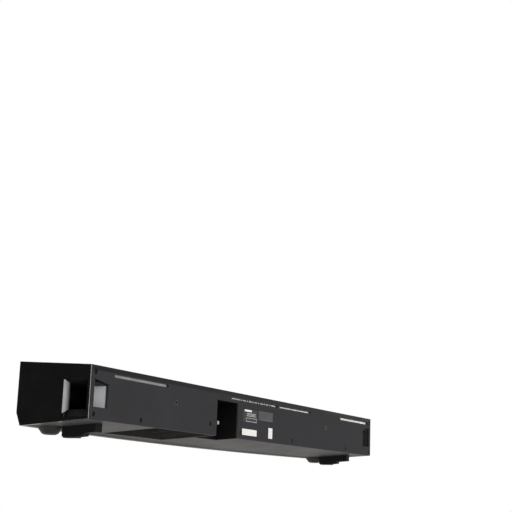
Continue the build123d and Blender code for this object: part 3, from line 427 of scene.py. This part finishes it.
def hole_grid(tree, along, up, shift):
    """Distance to the middle of the nearest hole in one grid, moved by a share of a step."""
    offsets = []
    for value, step in ((along, STEP), (up, STEP * math.sqrt(3))):
        moved = add(tree, "Math", {"operation": "ADD"}, _0=value, _1=shift * step)
        offsets.append(add(tree, "Math", {"operation": "PINGPONG"}, _0=moved, _1=step / 2))
    place = add(tree, "CombineXYZ", X=offsets[0], Y=offsets[1])
    return add(tree, "VectorMath", {"operation": "LENGTH"}, _0=place)


def punched_steel(name):
    """Powder-coated sheet with staggered round holes drawn on it."""
    material, tree, shader = start_material(name, IOR=1.5)
    place = place_on_solid(tree)
    first, second = [hole_grid(tree, place["X"], place["Z"], shift) for shift in (0.0, 0.5)]
    nearest = add(tree, "Math", {"operation": "MINIMUM"}, _0=first, _1=second)
    sheet = add(tree, "MapRange", Value=nearest, From_Min=HOLE_RADIUS * 0.9, From_Max=HOLE_RADIUS * 1.1)
    colour = add(
        tree, "Mix", {"data_type": "RGBA"}, Factor=sheet, A=to_linear("#050505"), B=to_linear("#232325"))
    rough = add(tree, "Math", {"operation": "MULTIPLY_ADD"}, _0=sheet, _1=-0.35, _2=0.85)
    peel = grain(tree, 1.0 * MM, 1.0)
    uneven = add(tree, "Math", {"operation": "MULTIPLY_ADD"}, _0=peel, _1=0.1, _2=rough)
    bump = add(tree, "Bump", Height=sheet, Distance=HOLE_DEPTH)
    feed(tree, shader, Base_Color=colour, Roughness=uneven, Normal=bump)
    return material


mesh_steel = punched_steel("powder_coated_punched_steel")
print("holes every", STEP / MM, "mm")

# %% [markdown]
# ## Rubber, paper and tape
#
# Rubber scatters light from a dusty, slightly rough skin, so its colour is a
# dark grey rather than black and its roughness is high. The round feet are a
# firmer, cleaner rubber that mirrors less of the floor. A driver's cone is
# paper with a dull coat, and a transformer's winding is wrapped in yellow tape.
#
# All of them are soft skins with a dusty grain, so one function serves them. A
# little of the Sheen layer stands for fuzz on the pads and on the paper.

# %% Soft skins
ROUGHNESS_SPREAD = 0.08


def soft_skin(name, hexes, rough, grain_mm=0.9, height_mm=0.05, fuzz=0.0, mirrored=0.5):
    """Rubber, doped cloth or coated paper, with a dusty grain."""
    material, tree, shader = start_material(
        name, IOR=1.52, Specular_IOR_Level=mirrored, Sheen_Weight=fuzz, Sheen_Roughness=0.5)
    fine = grain(tree, grain_mm * MM, 3.0)
    slow = grain(tree, 15 * MM, 3.0)
    roughness = (rough - ROUGHNESS_SPREAD, rough + ROUGHNESS_SPREAD)
    finish(tree, shader, slow, hexes, fine, roughness, fine, height_mm * MM, tone_high=0.75)
    return material


pad_rubber = soft_skin("soft_black_rubber", ("#161616", "#202020"), 0.75, fuzz=0.1)
dome_rubber = soft_skin("firm_grey_rubber", ("#0e0e0f", "#131314"), 0.5, mirrored=0.3)
surround_rubber = soft_skin("surround_rubber", ("#0f0f0f", "#161616"), 0.6)
cone_paper = soft_skin("coated_cone_paper", ("#1c1c1d", "#262627"), 0.7, 1.6, 0.12, 0.15)
tape = soft_skin("yellow_winding_tape", ("#8a6a1c", "#a8832a"), 0.45, 3.0)
soft_skins = (pad_rubber, dome_rubber, surround_rubber, cone_paper, tape)
print("soft skins:", [material.name for material in soft_skins])

# %% [markdown]
# ## Circuit boards
#
# A circuit board is glass cloth under a green solder mask, with copper tracks
# below it that show as thin, slightly raised, lighter lines. A Brick texture
# gives lines that run both ways and end at one another, much as tracks do, and
# its Fac output gives their height.
#
# Rows of wide tracks for power parts come about six to 25 mm. The mortar of the
# texture is the track, and it takes a share of the row on both of its sides.
# Signal tracks are far finer and would not show, so all are drawn this wide.

# %% Solder mask
TRACK_STEP = 25 * MM / 6
ROW_HEIGHT = 0.25
TRACK_SIDE_SHARE = 0.14


def solder_mask(name):
    """Green mask with slightly raised tracks."""
    material, tree, shader = start_material(name, IOR=1.55)
    place = add(tree, "TexCoord")
    tracks = add(
        tree, "TexBrick", Vector=place.outputs["Object"], Scale=ROW_HEIGHT / TRACK_STEP,
        Row_Height=ROW_HEIGHT, Mortar_Size=ROW_HEIGHT * TRACK_SIDE_SHARE,
        Color1=to_linear("#0d3d22"), Color2=to_linear("#0f4526"), Mortar=to_linear("#1c6a3c"))
    rough = add(
        tree, "MapRange", Value=grain(tree, 4 * MM), From_Min=NOISE_LOW, From_Max=NOISE_HIGH,
        To_Min=0.28, To_Max=0.4)
    bump = add(tree, "Bump", Height=tracks.outputs["Fac"], Distance=0.03 * MM)
    feed(tree, shader, Base_Color=tracks.outputs["Color"], Roughness=rough, Normal=bump)
    return material


board_mask = solder_mask("green_solder_mask")
print("tracks", round(2 * TRACK_SIDE_SHARE * TRACK_STEP / MM, 2), "mm wide on", board_mask.name)

# %% [markdown]
# ## Coloured sockets
#
# The three phono sockets are one solid node in three colours of nylon. The
# material reads the place along the bar, and a ramp with hard steps changes the
# colour half-way between two sockets. Three materials would do as well, but
# then the faces of each socket would have to be found first.

# %% Socket colours, by their place along the bar
SOCKET_SIDE = 11.0 * MM


def socket_plastic(name, middles):
    """White, red and orange sockets: the colour changes half-way between two of them."""
    material, tree, shader = start_material(name, IOR=1.5)
    low, high = middles[0] - SOCKET_SIDE, middles[-1] + SOCKET_SIDE
    along = add(tree, "MapRange", Value=place_on_solid(tree)["X"], From_Min=low, From_Max=high)
    ramp = add(tree, "ValToRGB", Fac=along)
    ramp.color_ramp.interpolation = "CONSTANT"
    ramp.color_ramp.elements.new(0.5)
    turns = [0.0] + [((a + b) / 2 - low) / (high - low) for a, b in zip(middles, middles[1:])]
    for stop, turn, hex_code in zip(ramp.color_ramp.elements, turns, ("#d8d6cf", "#a31d1d", "#c2681c")):
        stop.position = turn
        stop.color = to_linear(hex_code)
    fine = grain(tree, 1.2 * MM)
    rough = add(
        tree, "MapRange", Value=fine, From_Min=NOISE_LOW, From_Max=NOISE_HIGH, To_Min=0.3, To_Max=0.42)
    bump = add(tree, "Bump", Height=fine, Distance=0.02 * MM)
    feed(tree, shader, Base_Color=ramp, Roughness=rough, Normal=bump)
    return material


jack_low, jack_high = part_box("rca_jacks")
jack_step = (jack_high.x - jack_low.x - SOCKET_SIDE) / 2
jack_middles = [jack_low.x + SOCKET_SIDE / 2 + k * jack_step for k in range(3)]
socket_colours = socket_plastic("coloured_socket_nylon", jack_middles)
print("sockets at x =", [round(x, 3) for x in jack_middles])

# %% [markdown]
# ## Smoked window
#
# The display sits behind a window of smoked acrylic. It looks black until
# something lights up behind it, and it is moulded smooth, so it has a sharp but
# faint reflection and no grain. Nothing is lit here, so it needs no
# transmission. Acrylic has an index of refraction of 1.49.

# %% Smoked acrylic
def smoked_acrylic(name):
    """Dark acrylic: nearly black, with a faint sharp reflection."""
    material, tree, shader = start_material(
        name, IOR=1.49, Specular_IOR_Level=0.2, Coat_Weight=0.15, Coat_Roughness=0.03)
    spread = add(tree, "MapRange", Value=grain(tree, 20 * MM), From_Min=NOISE_LOW, From_Max=NOISE_HIGH)
    colour = add(
        tree, "Mix", {"data_type": "RGBA"}, Factor=spread, A=to_linear("#08080a"), B=to_linear("#0b0b0e"))
    rough = add(tree, "MapRange", Value=spread, To_Min=0.05, To_Max=0.12)
    feed(tree, shader, Base_Color=colour, Roughness=rough)
    return material


window_acrylic = smoked_acrylic("smoked_acrylic")
print("window finish:", window_acrylic.name)

# %% [markdown]
# ## Giving each solid its finish
#
# Each solid carries the name of a material slot in the CAD record, such as
# shell or duct. One table says which finish stands for which slot, so a solid
# never goes without one, and the solids themselves aren't touched. The rear
# panel shares the shell's slot but has a finish of its own.

# %% Finishes by slot
FINISHES = {
    "shell": shell_plastic_painted_lighter, "lid": lid_abs, "baffle": frame_abs, "frame": frame_abs, "grille": mesh_steel,
    "cheek": cheek_gloss, "duct": duct_abs, "port_trim": port_paint, "plated_steel": zinc,
    "dark_steel": black_oxide, "brass": brass, "board": board_mask, "jacks": socket_colours,
    "dark_plastic": duct_abs, "window": window_acrylic, "transformer": tape, "heat_sink": extruded,
    "woofer_grille": woofer_abs, "foot": foot_abs, "pad": pad_rubber, "dome": dome_rubber,
    "button": key_abs, "basket": basket_paint, "magnet": ferrite, "suspension": surround_rubber,
    "cone": cone_paper,
}
for subpart in frame["record"]["subparts"]:
    solid = nodes[subpart["node"]]
    solid.data.materials.clear()
    solid.data.materials.append(FINISHES[subpart["material_slot"]])
nodes["rear_panel"].data.materials[0] = rear_abs

# %% [markdown]
# ## Thin flat pieces
#
# Labels, the symbols on the keys and the crosses in the screw heads are all
# flat and thin. One function builds them: it takes outlines in a plane, joins
# those that share an edge, gives them a thickness, and sets the plane in its
# place. A place is a matrix whose third axis is the way the piece faces. A
# curve with a thickness could do it too, but plain faces need no conversion.

# %% Flat pieces and where they go
JOINING = 0.001 * MM


def flat_piece(name, outlines, thick, material, place, body="cabinet"):
    """Plate from closed outlines; its back lies on the plane of place and its face looks along it."""
    shape = bmesh.new()
    for outline in outlines:
        shape.faces.new([shape.verts.new((x, y, 0)) for x, y in outline])
    bmesh.ops.remove_doubles(shape, verts=shape.verts, dist=JOINING)
    raised = bmesh.ops.extrude_face_region(shape, geom=shape.faces[:])
    corners = [item for item in raised["geom"] if isinstance(item, bmesh.types.BMVert)]
    bmesh.ops.translate(shape, verts=corners, vec=(0, 0, thick))
    bmesh.ops.recalc_face_normals(shape, faces=shape.faces)
    mesh = bpy.data.meshes.new(name)
    shape.to_mesh(mesh)
    shape.free()
    made = bpy.data.objects.new(name, mesh)
    made.matrix_world = place
    made.data.materials.append(material)
    bpy.context.scene.collection.objects.link(made)
    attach(made, body)
    return made


def plane_facing(direction, right, point):
    """Matrix of a plane at a point: it faces a direction and has right as its X axis."""
    normal = Vector(direction).normalized()
    across = Vector(right).normalized()
    axes = Matrix((across, normal.cross(across), normal)).transposed()
    return Matrix.Translation(point) @ axes.to_4x4()


print("flat pieces ready")

# %% [markdown]
# ## Label surfaces
#
# The rear has four shallow recesses with a label in each. The labels carry no
# words here: a black rating plate with an empty white field, a few ruled lines
# and a framed box, a plain grey plate with one lighter line, and two white
# paper stickers.
#
# Rating plates are polyester film printed on the back, so they are smooth and
# even, and a matt varnish keeps their reflection low. The print is a set of
# rectangles in the plate's own coordinates. A Compare node is 1 within a given
# distance of a value, so two of them multiplied make one rectangle.

# %% Film and paper with printed rectangles
def field(tree, place, middle_x, middle_y, width, height):
    """1 inside a rectangle given in mm, and 0 outside."""
    across = add(
        tree, "Math", {"operation": "COMPARE"}, _0=place["X"], _1=middle_x * MM, _2=width / 2 * MM)
    upright = add(
        tree, "Math", {"operation": "COMPARE"}, _0=place["Y"], _1=middle_y * MM, _2=height / 2 * MM)
    return add(tree, "Math", {"operation": "MULTIPLY"}, _0=across, _1=upright)


def printed_film(name, ground, ink, fields=(), frames=(), rough=0.35):
    """Plastic film with rectangles of ink: solid fields, and frames with a thin line."""
    material, tree, shader = start_material(name, IOR=1.5, Specular_IOR_Level=0.25)
    place = place_on_solid(tree)
    inked = [field(tree, place, *box) for box in fields]
    for middle_x, middle_y, width, height, line in frames:
        outer = field(tree, place, middle_x, middle_y, width, height)
        inner = field(tree, place, middle_x, middle_y, width - 2 * line, height - 2 * line)
        inked.append(add(tree, "Math", {"operation": "SUBTRACT"}, _0=outer, _1=inner))
    total = 0.0
    for one in inked:
        total = add(tree, "Math", {"operation": "ADD", "use_clamp": True}, _0=one, _1=total)
    faded = add(
        tree, "MapRange", Value=grain(tree, 12 * MM, 3.0), From_Min=NOISE_LOW, From_Max=NOISE_HIGH,
        To_Min=0.86, To_Max=1.0)
    amount = add(tree, "Math", {"operation": "MULTIPLY"}, _0=total, _1=faded)
    colour = add(
        tree, "Mix", {"data_type": "RGBA"}, Factor=amount, A=to_linear(ground), B=to_linear(ink))
    fine = grain(tree, 0.7 * MM, 1.0)
    gloss = add(
        tree, "MapRange", Value=fine, From_Min=NOISE_LOW, From_Max=NOISE_HIGH,
        To_Min=rough - 0.05, To_Max=rough + 0.08)
    bump = add(tree, "Bump", Height=fine, Distance=0.01 * MM)
    feed(tree, shader, Base_Color=colour, Roughness=gloss, Normal=bump)
    return material


# In mm from a plate's middle: middle x and y, width and height, and a frame's line.
WHITE_FIELD = (-7.5, 9.0, 25.0, 3.4)
RULES = [(4.0, 4.4 - 2.2 * k, 34.0 - 6.0 * (k % 2), 0.6) for k in range(3)]
FRAMED_BOX = (5.0, -6.8, 38.0, 6.4, 0.5)
LIGHTER_LINE = (3.0, -7.0, 46.0, 2.0)
rating_film = printed_film("black_polyester_film", "#1e1f21", "#e6e6e3", [WHITE_FIELD] + RULES, [FRAMED_BOX])
grey_film = printed_film("grey_polyester_film", "#3a3b3e", "#4b4c51", [LIGHTER_LINE])
white_paper = printed_film("white_label_paper", "#e4e3df", "#e4e3df", rough=0.6)
print("label surfaces:", [material.name for material in (rating_film, grey_film, white_paper)])

# %% [markdown]
# ## Label plates
#
# The plates are 0.2 mm thick and lie in recesses 0.3 mm deep, so they stay
# below the surface and don't change the bar's size. A gap of 0.4 mm runs round
# each of them, as a label that is laid in by hand needs. They could be part of
# the rear panel's finish, but a real label has an edge, and that edge shows.

# %% Plates in their recesses
REARWARD, REAR_RIGHT = (0, 1, 0), (-1, 0, 0)
REAR_EDGE_Z = 23.5 * MM
LABEL_RECESS = 0.3 * MM
LABEL_THICK = 0.2 * MM
LABEL_GAP = 0.4 * MM
LABEL_CORNER = 1.0 * MM
LABELS = {      # middle x, height above the rear bottom edge, width and height in mm
    "rating_plate": (34.0, 42.0, 52.0, 24.0, rating_film),
    "grey_plate": (-23.5, 46.0, 55.0, 17.5, grey_film),
    "wide_sticker": (34.8, 12.9, 53.0, 11.8, white_paper),
    "tall_sticker": (-42.5, 16.6, 16.0, 20.0, white_paper),
}


def rounded(width, height, corner, steps=5):
    """Outline of a rectangle with round corners, in metres, about its middle."""
    points = []
    for turn, (side_x, side_y) in enumerate(((1, 1), (-1, 1), (-1, -1), (1, -1))):
        for k in range(steps + 1):
            angle = math.radians(90 * (turn + k / steps))
            points.append((
                side_x * (width / 2 - corner) + corner * math.cos(angle),
                side_y * (height / 2 - corner) + corner * math.sin(angle)))
    return points


rear_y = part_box("rear_panel")[1].y
for name, (x, z, width, height, surface) in LABELS.items():
    outline = rounded(width * MM - 2 * LABEL_GAP, height * MM - 2 * LABEL_GAP, LABEL_CORNER)
    point = Vector((x * MM, rear_y - LABEL_RECESS, REAR_EDGE_Z + z * MM))
    flat_piece(name, [outline], LABEL_THICK, surface, plane_facing(REARWARD, REAR_RIGHT, point))
print("labels:", len(LABELS))

# %% [markdown]
# ## Symbols on the keys
#
# Each key has a raised symbol, a fifth of a millimetre high: an open ring with
# a stroke for power, a frame for the source, a minus and a plus for the
# volume. They are the plain symbols that most such keys carry, and each rides
# on its own key. Print in the key's finish would be as easy, but a finger finds
# a raised symbol in the dark, which is why such keys have them.

# %% Outlines of the symbols
def bar(width, height, x=0.0, y=0.0):
    """Outline of an upright rectangle; sizes are in mm and points in metres."""
    across, up_by = width / 2, height / 2
    corners = ((-across, -up_by), (across, -up_by), (across, up_by), (-across, up_by))
    return [((x + a) * MM, (y + b) * MM) for a, b in corners]


def open_ring(radius, width, gap_angle, steps=28):
    """Outline of a ring that is open at the top; sizes are in mm and degrees."""
    start = 90 + gap_angle / 2
    turns = [math.radians(start + (360 - gap_angle) * k / steps) for k in range(steps + 1)]
    outer, inner = [
        [(r * MM * math.cos(turn), r * MM * math.sin(turn)) for turn in turns]
        for r in (radius + width / 2, radius - width / 2)]
    return outer + inner[::-1]


def cross(width, arm):
    """Outline of an upright cross with arms of one width; sizes are in mm."""
    reach, side = width / 2, arm / 2
    points = []
    quarter = [(reach, -side), (reach, side), (side, side)]
    for _ in range(4):
        points += quarter
        quarter = [(-y, x) for x, y in quarter]
    return [(x * MM, y * MM) for x, y in points]


def between(outer, inner):
    """Four-cornered outlines that fill the space between two closed outlines."""
    count = len(outer)
    return [[outer[k], outer[(k + 1) % count], inner[(k + 1) % count], inner[k]] for k in range(count)]


LINE = 0.5
SYMBOLS = {
    "power_button": [open_ring(1.9, LINE, 70), bar(LINE, 2.0, 0, 1.4)],
    "source_button": between(bar(5.0, 3.5), bar(5.0 - 2 * LINE, 3.5 - 2 * LINE)),
    "volume_down_button": [bar(4.0, LINE)],
    "volume_up_button": [cross(4.0, LINE)],
}
print("outlines per symbol:", [len(outlines) for outlines in SYMBOLS.values()])

# %% [markdown]
# ## Setting the symbols on the keys
#
# The lid rises by 8 mm over its depth of 136 mm, and the keys' tops follow it.
# A symbol goes to the middle of its key and leans as the lid does. Its height
# there is worked out from the box of the key, whose highest edge is in front.

# %% Symbols on the sloping keys
SYMBOL_RISE = 0.2 * MM
LID_RISE, LID_DEPTH = 8 * MM, 136 * MM
TOP_SLOPE = LID_RISE / LID_DEPTH
pale_ink = soft_skin("pale_grey_ink", ("#8f9092", "#a2a3a5"), 0.5, 0.6, 0.01)
for node, outlines in SYMBOLS.items():
    key_low, key_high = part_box(node)
    point = (key_low + key_high) / 2
    point.z = key_high.z - TOP_SLOPE * (key_high.y - key_low.y) / 2
    flat_piece(
        "symbol_on_" + node, outlines, SYMBOL_RISE, pale_ink,
        plane_facing((0, TOP_SLOPE, 1), (1, 0, 0), point), node + "_key")
print("symbols:", len(SYMBOLS))

# %% [markdown]
# ## Finding the screw heads
#
# The rear screws are one solid node with many separate heads, and each head
# needs a cross. Their places could be typed in, but then they would be wrong as
# soon as a screw moves. Each head is found as an island of connected faces
# instead, and the box round it says where it is.

# %% Islands of a node
def islands(node):
    """Corners of the box round each connected part of a node's mesh."""
    shape = bmesh.new()
    shape.from_mesh(nodes[node].data)
    left = set(shape.verts)
    boxes = []
    while left:
        seed = left.pop()
        found, edge_of_search = {seed}, [seed]
        while edge_of_search:
            near = {edge.other_vert(v) for v in edge_of_search for edge in v.link_edges} - found
            found |= near
            edge_of_search = list(near)
        left -= found
        places = [v.co for v in found]
        boxes.append([Vector([pick(p[axis] for p in places) for axis in range(3)]) for pick in (min, max)])
    shape.free()
    return boxes


screw_heads = sorted(islands("rear_screws"), key=lambda box: tuple(box[0]))
print("rear screws:", len(screw_heads))

# %% [markdown]
# ## Crosses in the screw heads
#
# A cross of near black stands for the recess of a cross-head screw. A real
# recess would have to be cut into the solid, and at this distance only its
# shadow counts. It is flat and lies just on the head.

# %% Crosses
CROSS_LIFT = 0.02 * MM
CROSS_WIDTH = 3.4
recess_shadow = painted_steel("shadow_in_a_recess", ("#040404", "#080808"), (0.7, 0.8))
for number, (low, high) in enumerate(screw_heads, start=1):
    point = (low + high) / 2
    point.y = high.y
    flat_piece(
        f"rear_screw_cross_{number}", [cross(CROSS_WIDTH, CROSS_WIDTH / 4)], CROSS_LIFT, recess_shadow,
        plane_facing(REARWARD, REAR_RIGHT, point))
print("crosses", CROSS_WIDTH, "mm wide")

# %% [markdown]
# ## Sleeves of the phono sockets
#
# Each phono socket has a contact sleeve of nickel-plated brass round its
# coloured nose. It is a plain tube and stands a tenth of a millimetre out of the
# nose so that its rim shows. A cylinder with a second one cut out of it would
# do, but a flat ring that is 7 mm thick is the same shape and needs no cut.

# %% Nickel sleeves
SLEEVE_OUTER, SLEEVE_INNER, SLEEVE_LENGTH = 4.35 * MM, 3.3 * MM, 7.0 * MM
SLEEVE_PROUD = 0.1 * MM
nickel = worked_metal("nickel_plated_brass", ("#c9c5b8", "#dedad0"), (0.16, 0.26), 0.4, (1, 0.1, 1))


def circle(radius, steps=32):
    """Points round a circle."""
    turns = [2 * math.pi * k / steps for k in range(steps)]
    return [(radius * math.cos(turn), radius * math.sin(turn)) for turn in turns]


socket_z = jack_low.z + SOCKET_SIDE / 2
for name, x in zip(("white", "red", "orange"), jack_middles):
    point = Vector((x, jack_high.y - SLEEVE_LENGTH + SLEEVE_PROUD, socket_z))
    flat_piece(
        f"phono_sleeve_{name}", between(circle(SLEEVE_OUTER), circle(SLEEVE_INNER)), SLEEVE_LENGTH,
        nickel, plane_facing(REARWARD, REAR_RIGHT, point))
print("sleeves:", len(jack_middles))

# %% [markdown]
# ## Flat and round shading
#
# The solids arrive as facets. A turned or bowed face should look smooth while
# the edges between faces stay crisp, so faces that meet at a small angle are
# shaded as one surface and sharper meetings are kept as edges. Finer facets
# would also look smooth, but they would make the meshes larger.

# %% Smooth the turned faces only
SMOOTH_BELOW = math.radians(32)
for solid in nodes.values():
    solid.data.shade_smooth()
    solid.data.set_sharp_from_angle(angle=SMOOTH_BELOW)
print("edges sharper than", round(math.degrees(SMOOTH_BELOW)), "degrees stay crisp")

# %% [markdown]
# ## Studio floor
#
# The camera looks up at the bar from below its feet, so the floor is lower
# still. It is plain pale paper, which also throws soft light up against the
# underside. A lamp from below would do that as well, but paper does it evenly.

# %% Floor
FLOOR_DROP = 0.45
FLOOR_HALF_SIDE = 14.0


def make_floor():
    """Pale plain floor, far enough below for a camera that looks up at the bar."""
    mesh = bpy.data.meshes.new("studio_floor")
    shape = bmesh.new()
    bmesh.ops.create_grid(shape, x_segments=8, y_segments=8, size=FLOOR_HALF_SIDE)
    shape.to_mesh(mesh)
    shape.free()
    made = bpy.data.objects.new("studio_floor", mesh)
    made.location.z = -FLOOR_DROP
    bpy.context.scene.collection.objects.link(made)
    return made


floor = make_floor()
paper, _, _ = start_material("pale_studio_paper", Roughness=0.85, Base_Color=to_linear("#e8e5df"))
floor.data.materials.append(paper)
print("floor", FLOOR_DROP, "m below the feet")

# %% [markdown]
# ## Surround
#
# The air round the bar is lit evenly, as by large pale screens. Gloss black
# shows what stands opposite it, so the surround is dim on the side that the end
# plate looks at. Overhead it is brighter, as under a ceiling of soft light.
# Where the camera looks straight at the surround, it is simply white.

# %% Light from all round
SURROUND_PALE = 0.5
SURROUND_DIM = 0.06
DIM_TOWARDS = Vector((0.79, -0.61, 0.0))
DIM_BETWEEN = (0.1, 0.75)
CEILING = 0.85
CEILING_BETWEEN = (0.45, 0.8)


def make_surround():
    """Pale all round, dim on one side, bright overhead, and white to the camera."""
    world = bpy.data.worlds.new("studio_surround")
    world.use_nodes = True
    tree = world.node_tree
    direction = add(tree, "TexCoord").outputs["Generated"]
    facing = add(tree, "VectorMath", {"operation": "DOT_PRODUCT"}, _0=direction, _1=DIM_TOWARDS)
    walls = add(
        tree, "MapRange", Value=facing, From_Min=DIM_BETWEEN[0], From_Max=DIM_BETWEEN[1],
        To_Min=SURROUND_PALE, To_Max=SURROUND_DIM)
    height = add(tree, "SeparateXYZ", Vector=direction).outputs["Z"]
    ceiling = add(
        tree, "MapRange", Value=height, From_Min=CEILING_BETWEEN[0], From_Max=CEILING_BETWEEN[1],
        To_Max=CEILING)
    level = add(tree, "Math", {"operation": "ADD"}, _0=walls, _1=ceiling)
    seen = add(tree, "LightPath").outputs["Is Camera Ray"]
    strength = add(tree, "Mix", {"data_type": "FLOAT"}, Factor=seen, A=level, B=1.0)
    feed(tree, tree.nodes["Background"], Color=(1, 1, 1, 1), Strength=strength)
    bpy.context.scene.world = world


make_surround()
print("surround from", SURROUND_DIM, "to", SURROUND_PALE, "and", CEILING, "more overhead")

# %% [markdown]
# ## Soft boxes
#
# Three soft boxes draw the shapes. A tall narrow one on the camera's side draws
# a bright line down the rounded corner. A small one far behind the other end
# grazes along the rear and lights the zinc strip in its slots. A broad one high
# in front lights the grille and the top.

# %% Area lights
def soft_box(name, aim, offset, width, height, watts):
    """Rectangular area light at an offset from the point that it faces."""
    lamp = bpy.data.lights.new(name, "AREA")
    lamp.shape = "RECTANGLE"
    lamp.size = width
    lamp.size_y = height
    lamp.energy = watts
    made = bpy.data.objects.new(name, lamp)
    made.location = aim + Vector(offset)
    made.rotation_euler = (aim - made.location).to_track_quat("-Z", "Y").to_euler()
    bpy.context.scene.collection.objects.link(made)


bar_middle = (CAD_LOW + CAD_HIGH) / 2
near_corner = Vector((CAD_HIGH.x, CAD_HIGH.y, bar_middle.z))
far_end = Vector((CAD_LOW.x, CAD_HIGH.y, bar_middle.z))
soft_box("corner_soft_box", near_corner, (1.3, 2.1, 0.35), 0.5, 1.5, 32)
soft_box("tail_soft_box", far_end, (-2.5, 1.15, 0.05), 0.9, 0.7, 3.0)
soft_box("front_soft_box", bar_middle, (-1.4, -2.1, 2.3), 2.2, 1.2, 36)

# %% [markdown]
# ## Camera
#
# The camera looks at the bar from behind its right end and from a little below.
# Its direction is given as an azimuth, measured from the front round to the
# right, and an elevation, with a small roll. A short lens close by would show
# the bar as large, but a long lens from further away keeps the perspective
# gentle.

# %% Camera
CAMERA_PLACE = Vector((1.7903, 1.0938, -0.0865))
AZIMUTH, ELEVATION, ROLL = [math.radians(angle) for angle in (119.905, -12.431, 2.004)]
LENS_MM = 78.81
SENSOR_MM = 36.0

back = Vector((
    math.sin(AZIMUTH) * math.cos(ELEVATION), -math.cos(AZIMUTH) * math.cos(ELEVATION), math.sin(ELEVATION)))
right = Vector((math.cos(AZIMUTH), math.sin(AZIMUTH), 0.0))
up = back.cross(right)
turned_right = right * math.cos(ROLL) + up * math.sin(ROLL)
turned_up = up * math.cos(ROLL) - right * math.sin(ROLL)
axes = Matrix((turned_right, turned_up, back)).transposed()
lens = bpy.data.cameras.new("studio_camera")
lens.lens = LENS_MM
lens.sensor_width = SENSOR_MM
camera = bpy.data.objects.new("studio_camera", lens)
camera.matrix_world = Matrix.Translation(CAMERA_PLACE) @ axes.to_4x4()
bpy.context.scene.collection.objects.link(camera)
bpy.context.scene.camera = camera
bpy.context.scene.view_settings.view_transform = "Standard"
print("camera is", round((CAMERA_PLACE - near_corner).length, 2), "m from the near corner")
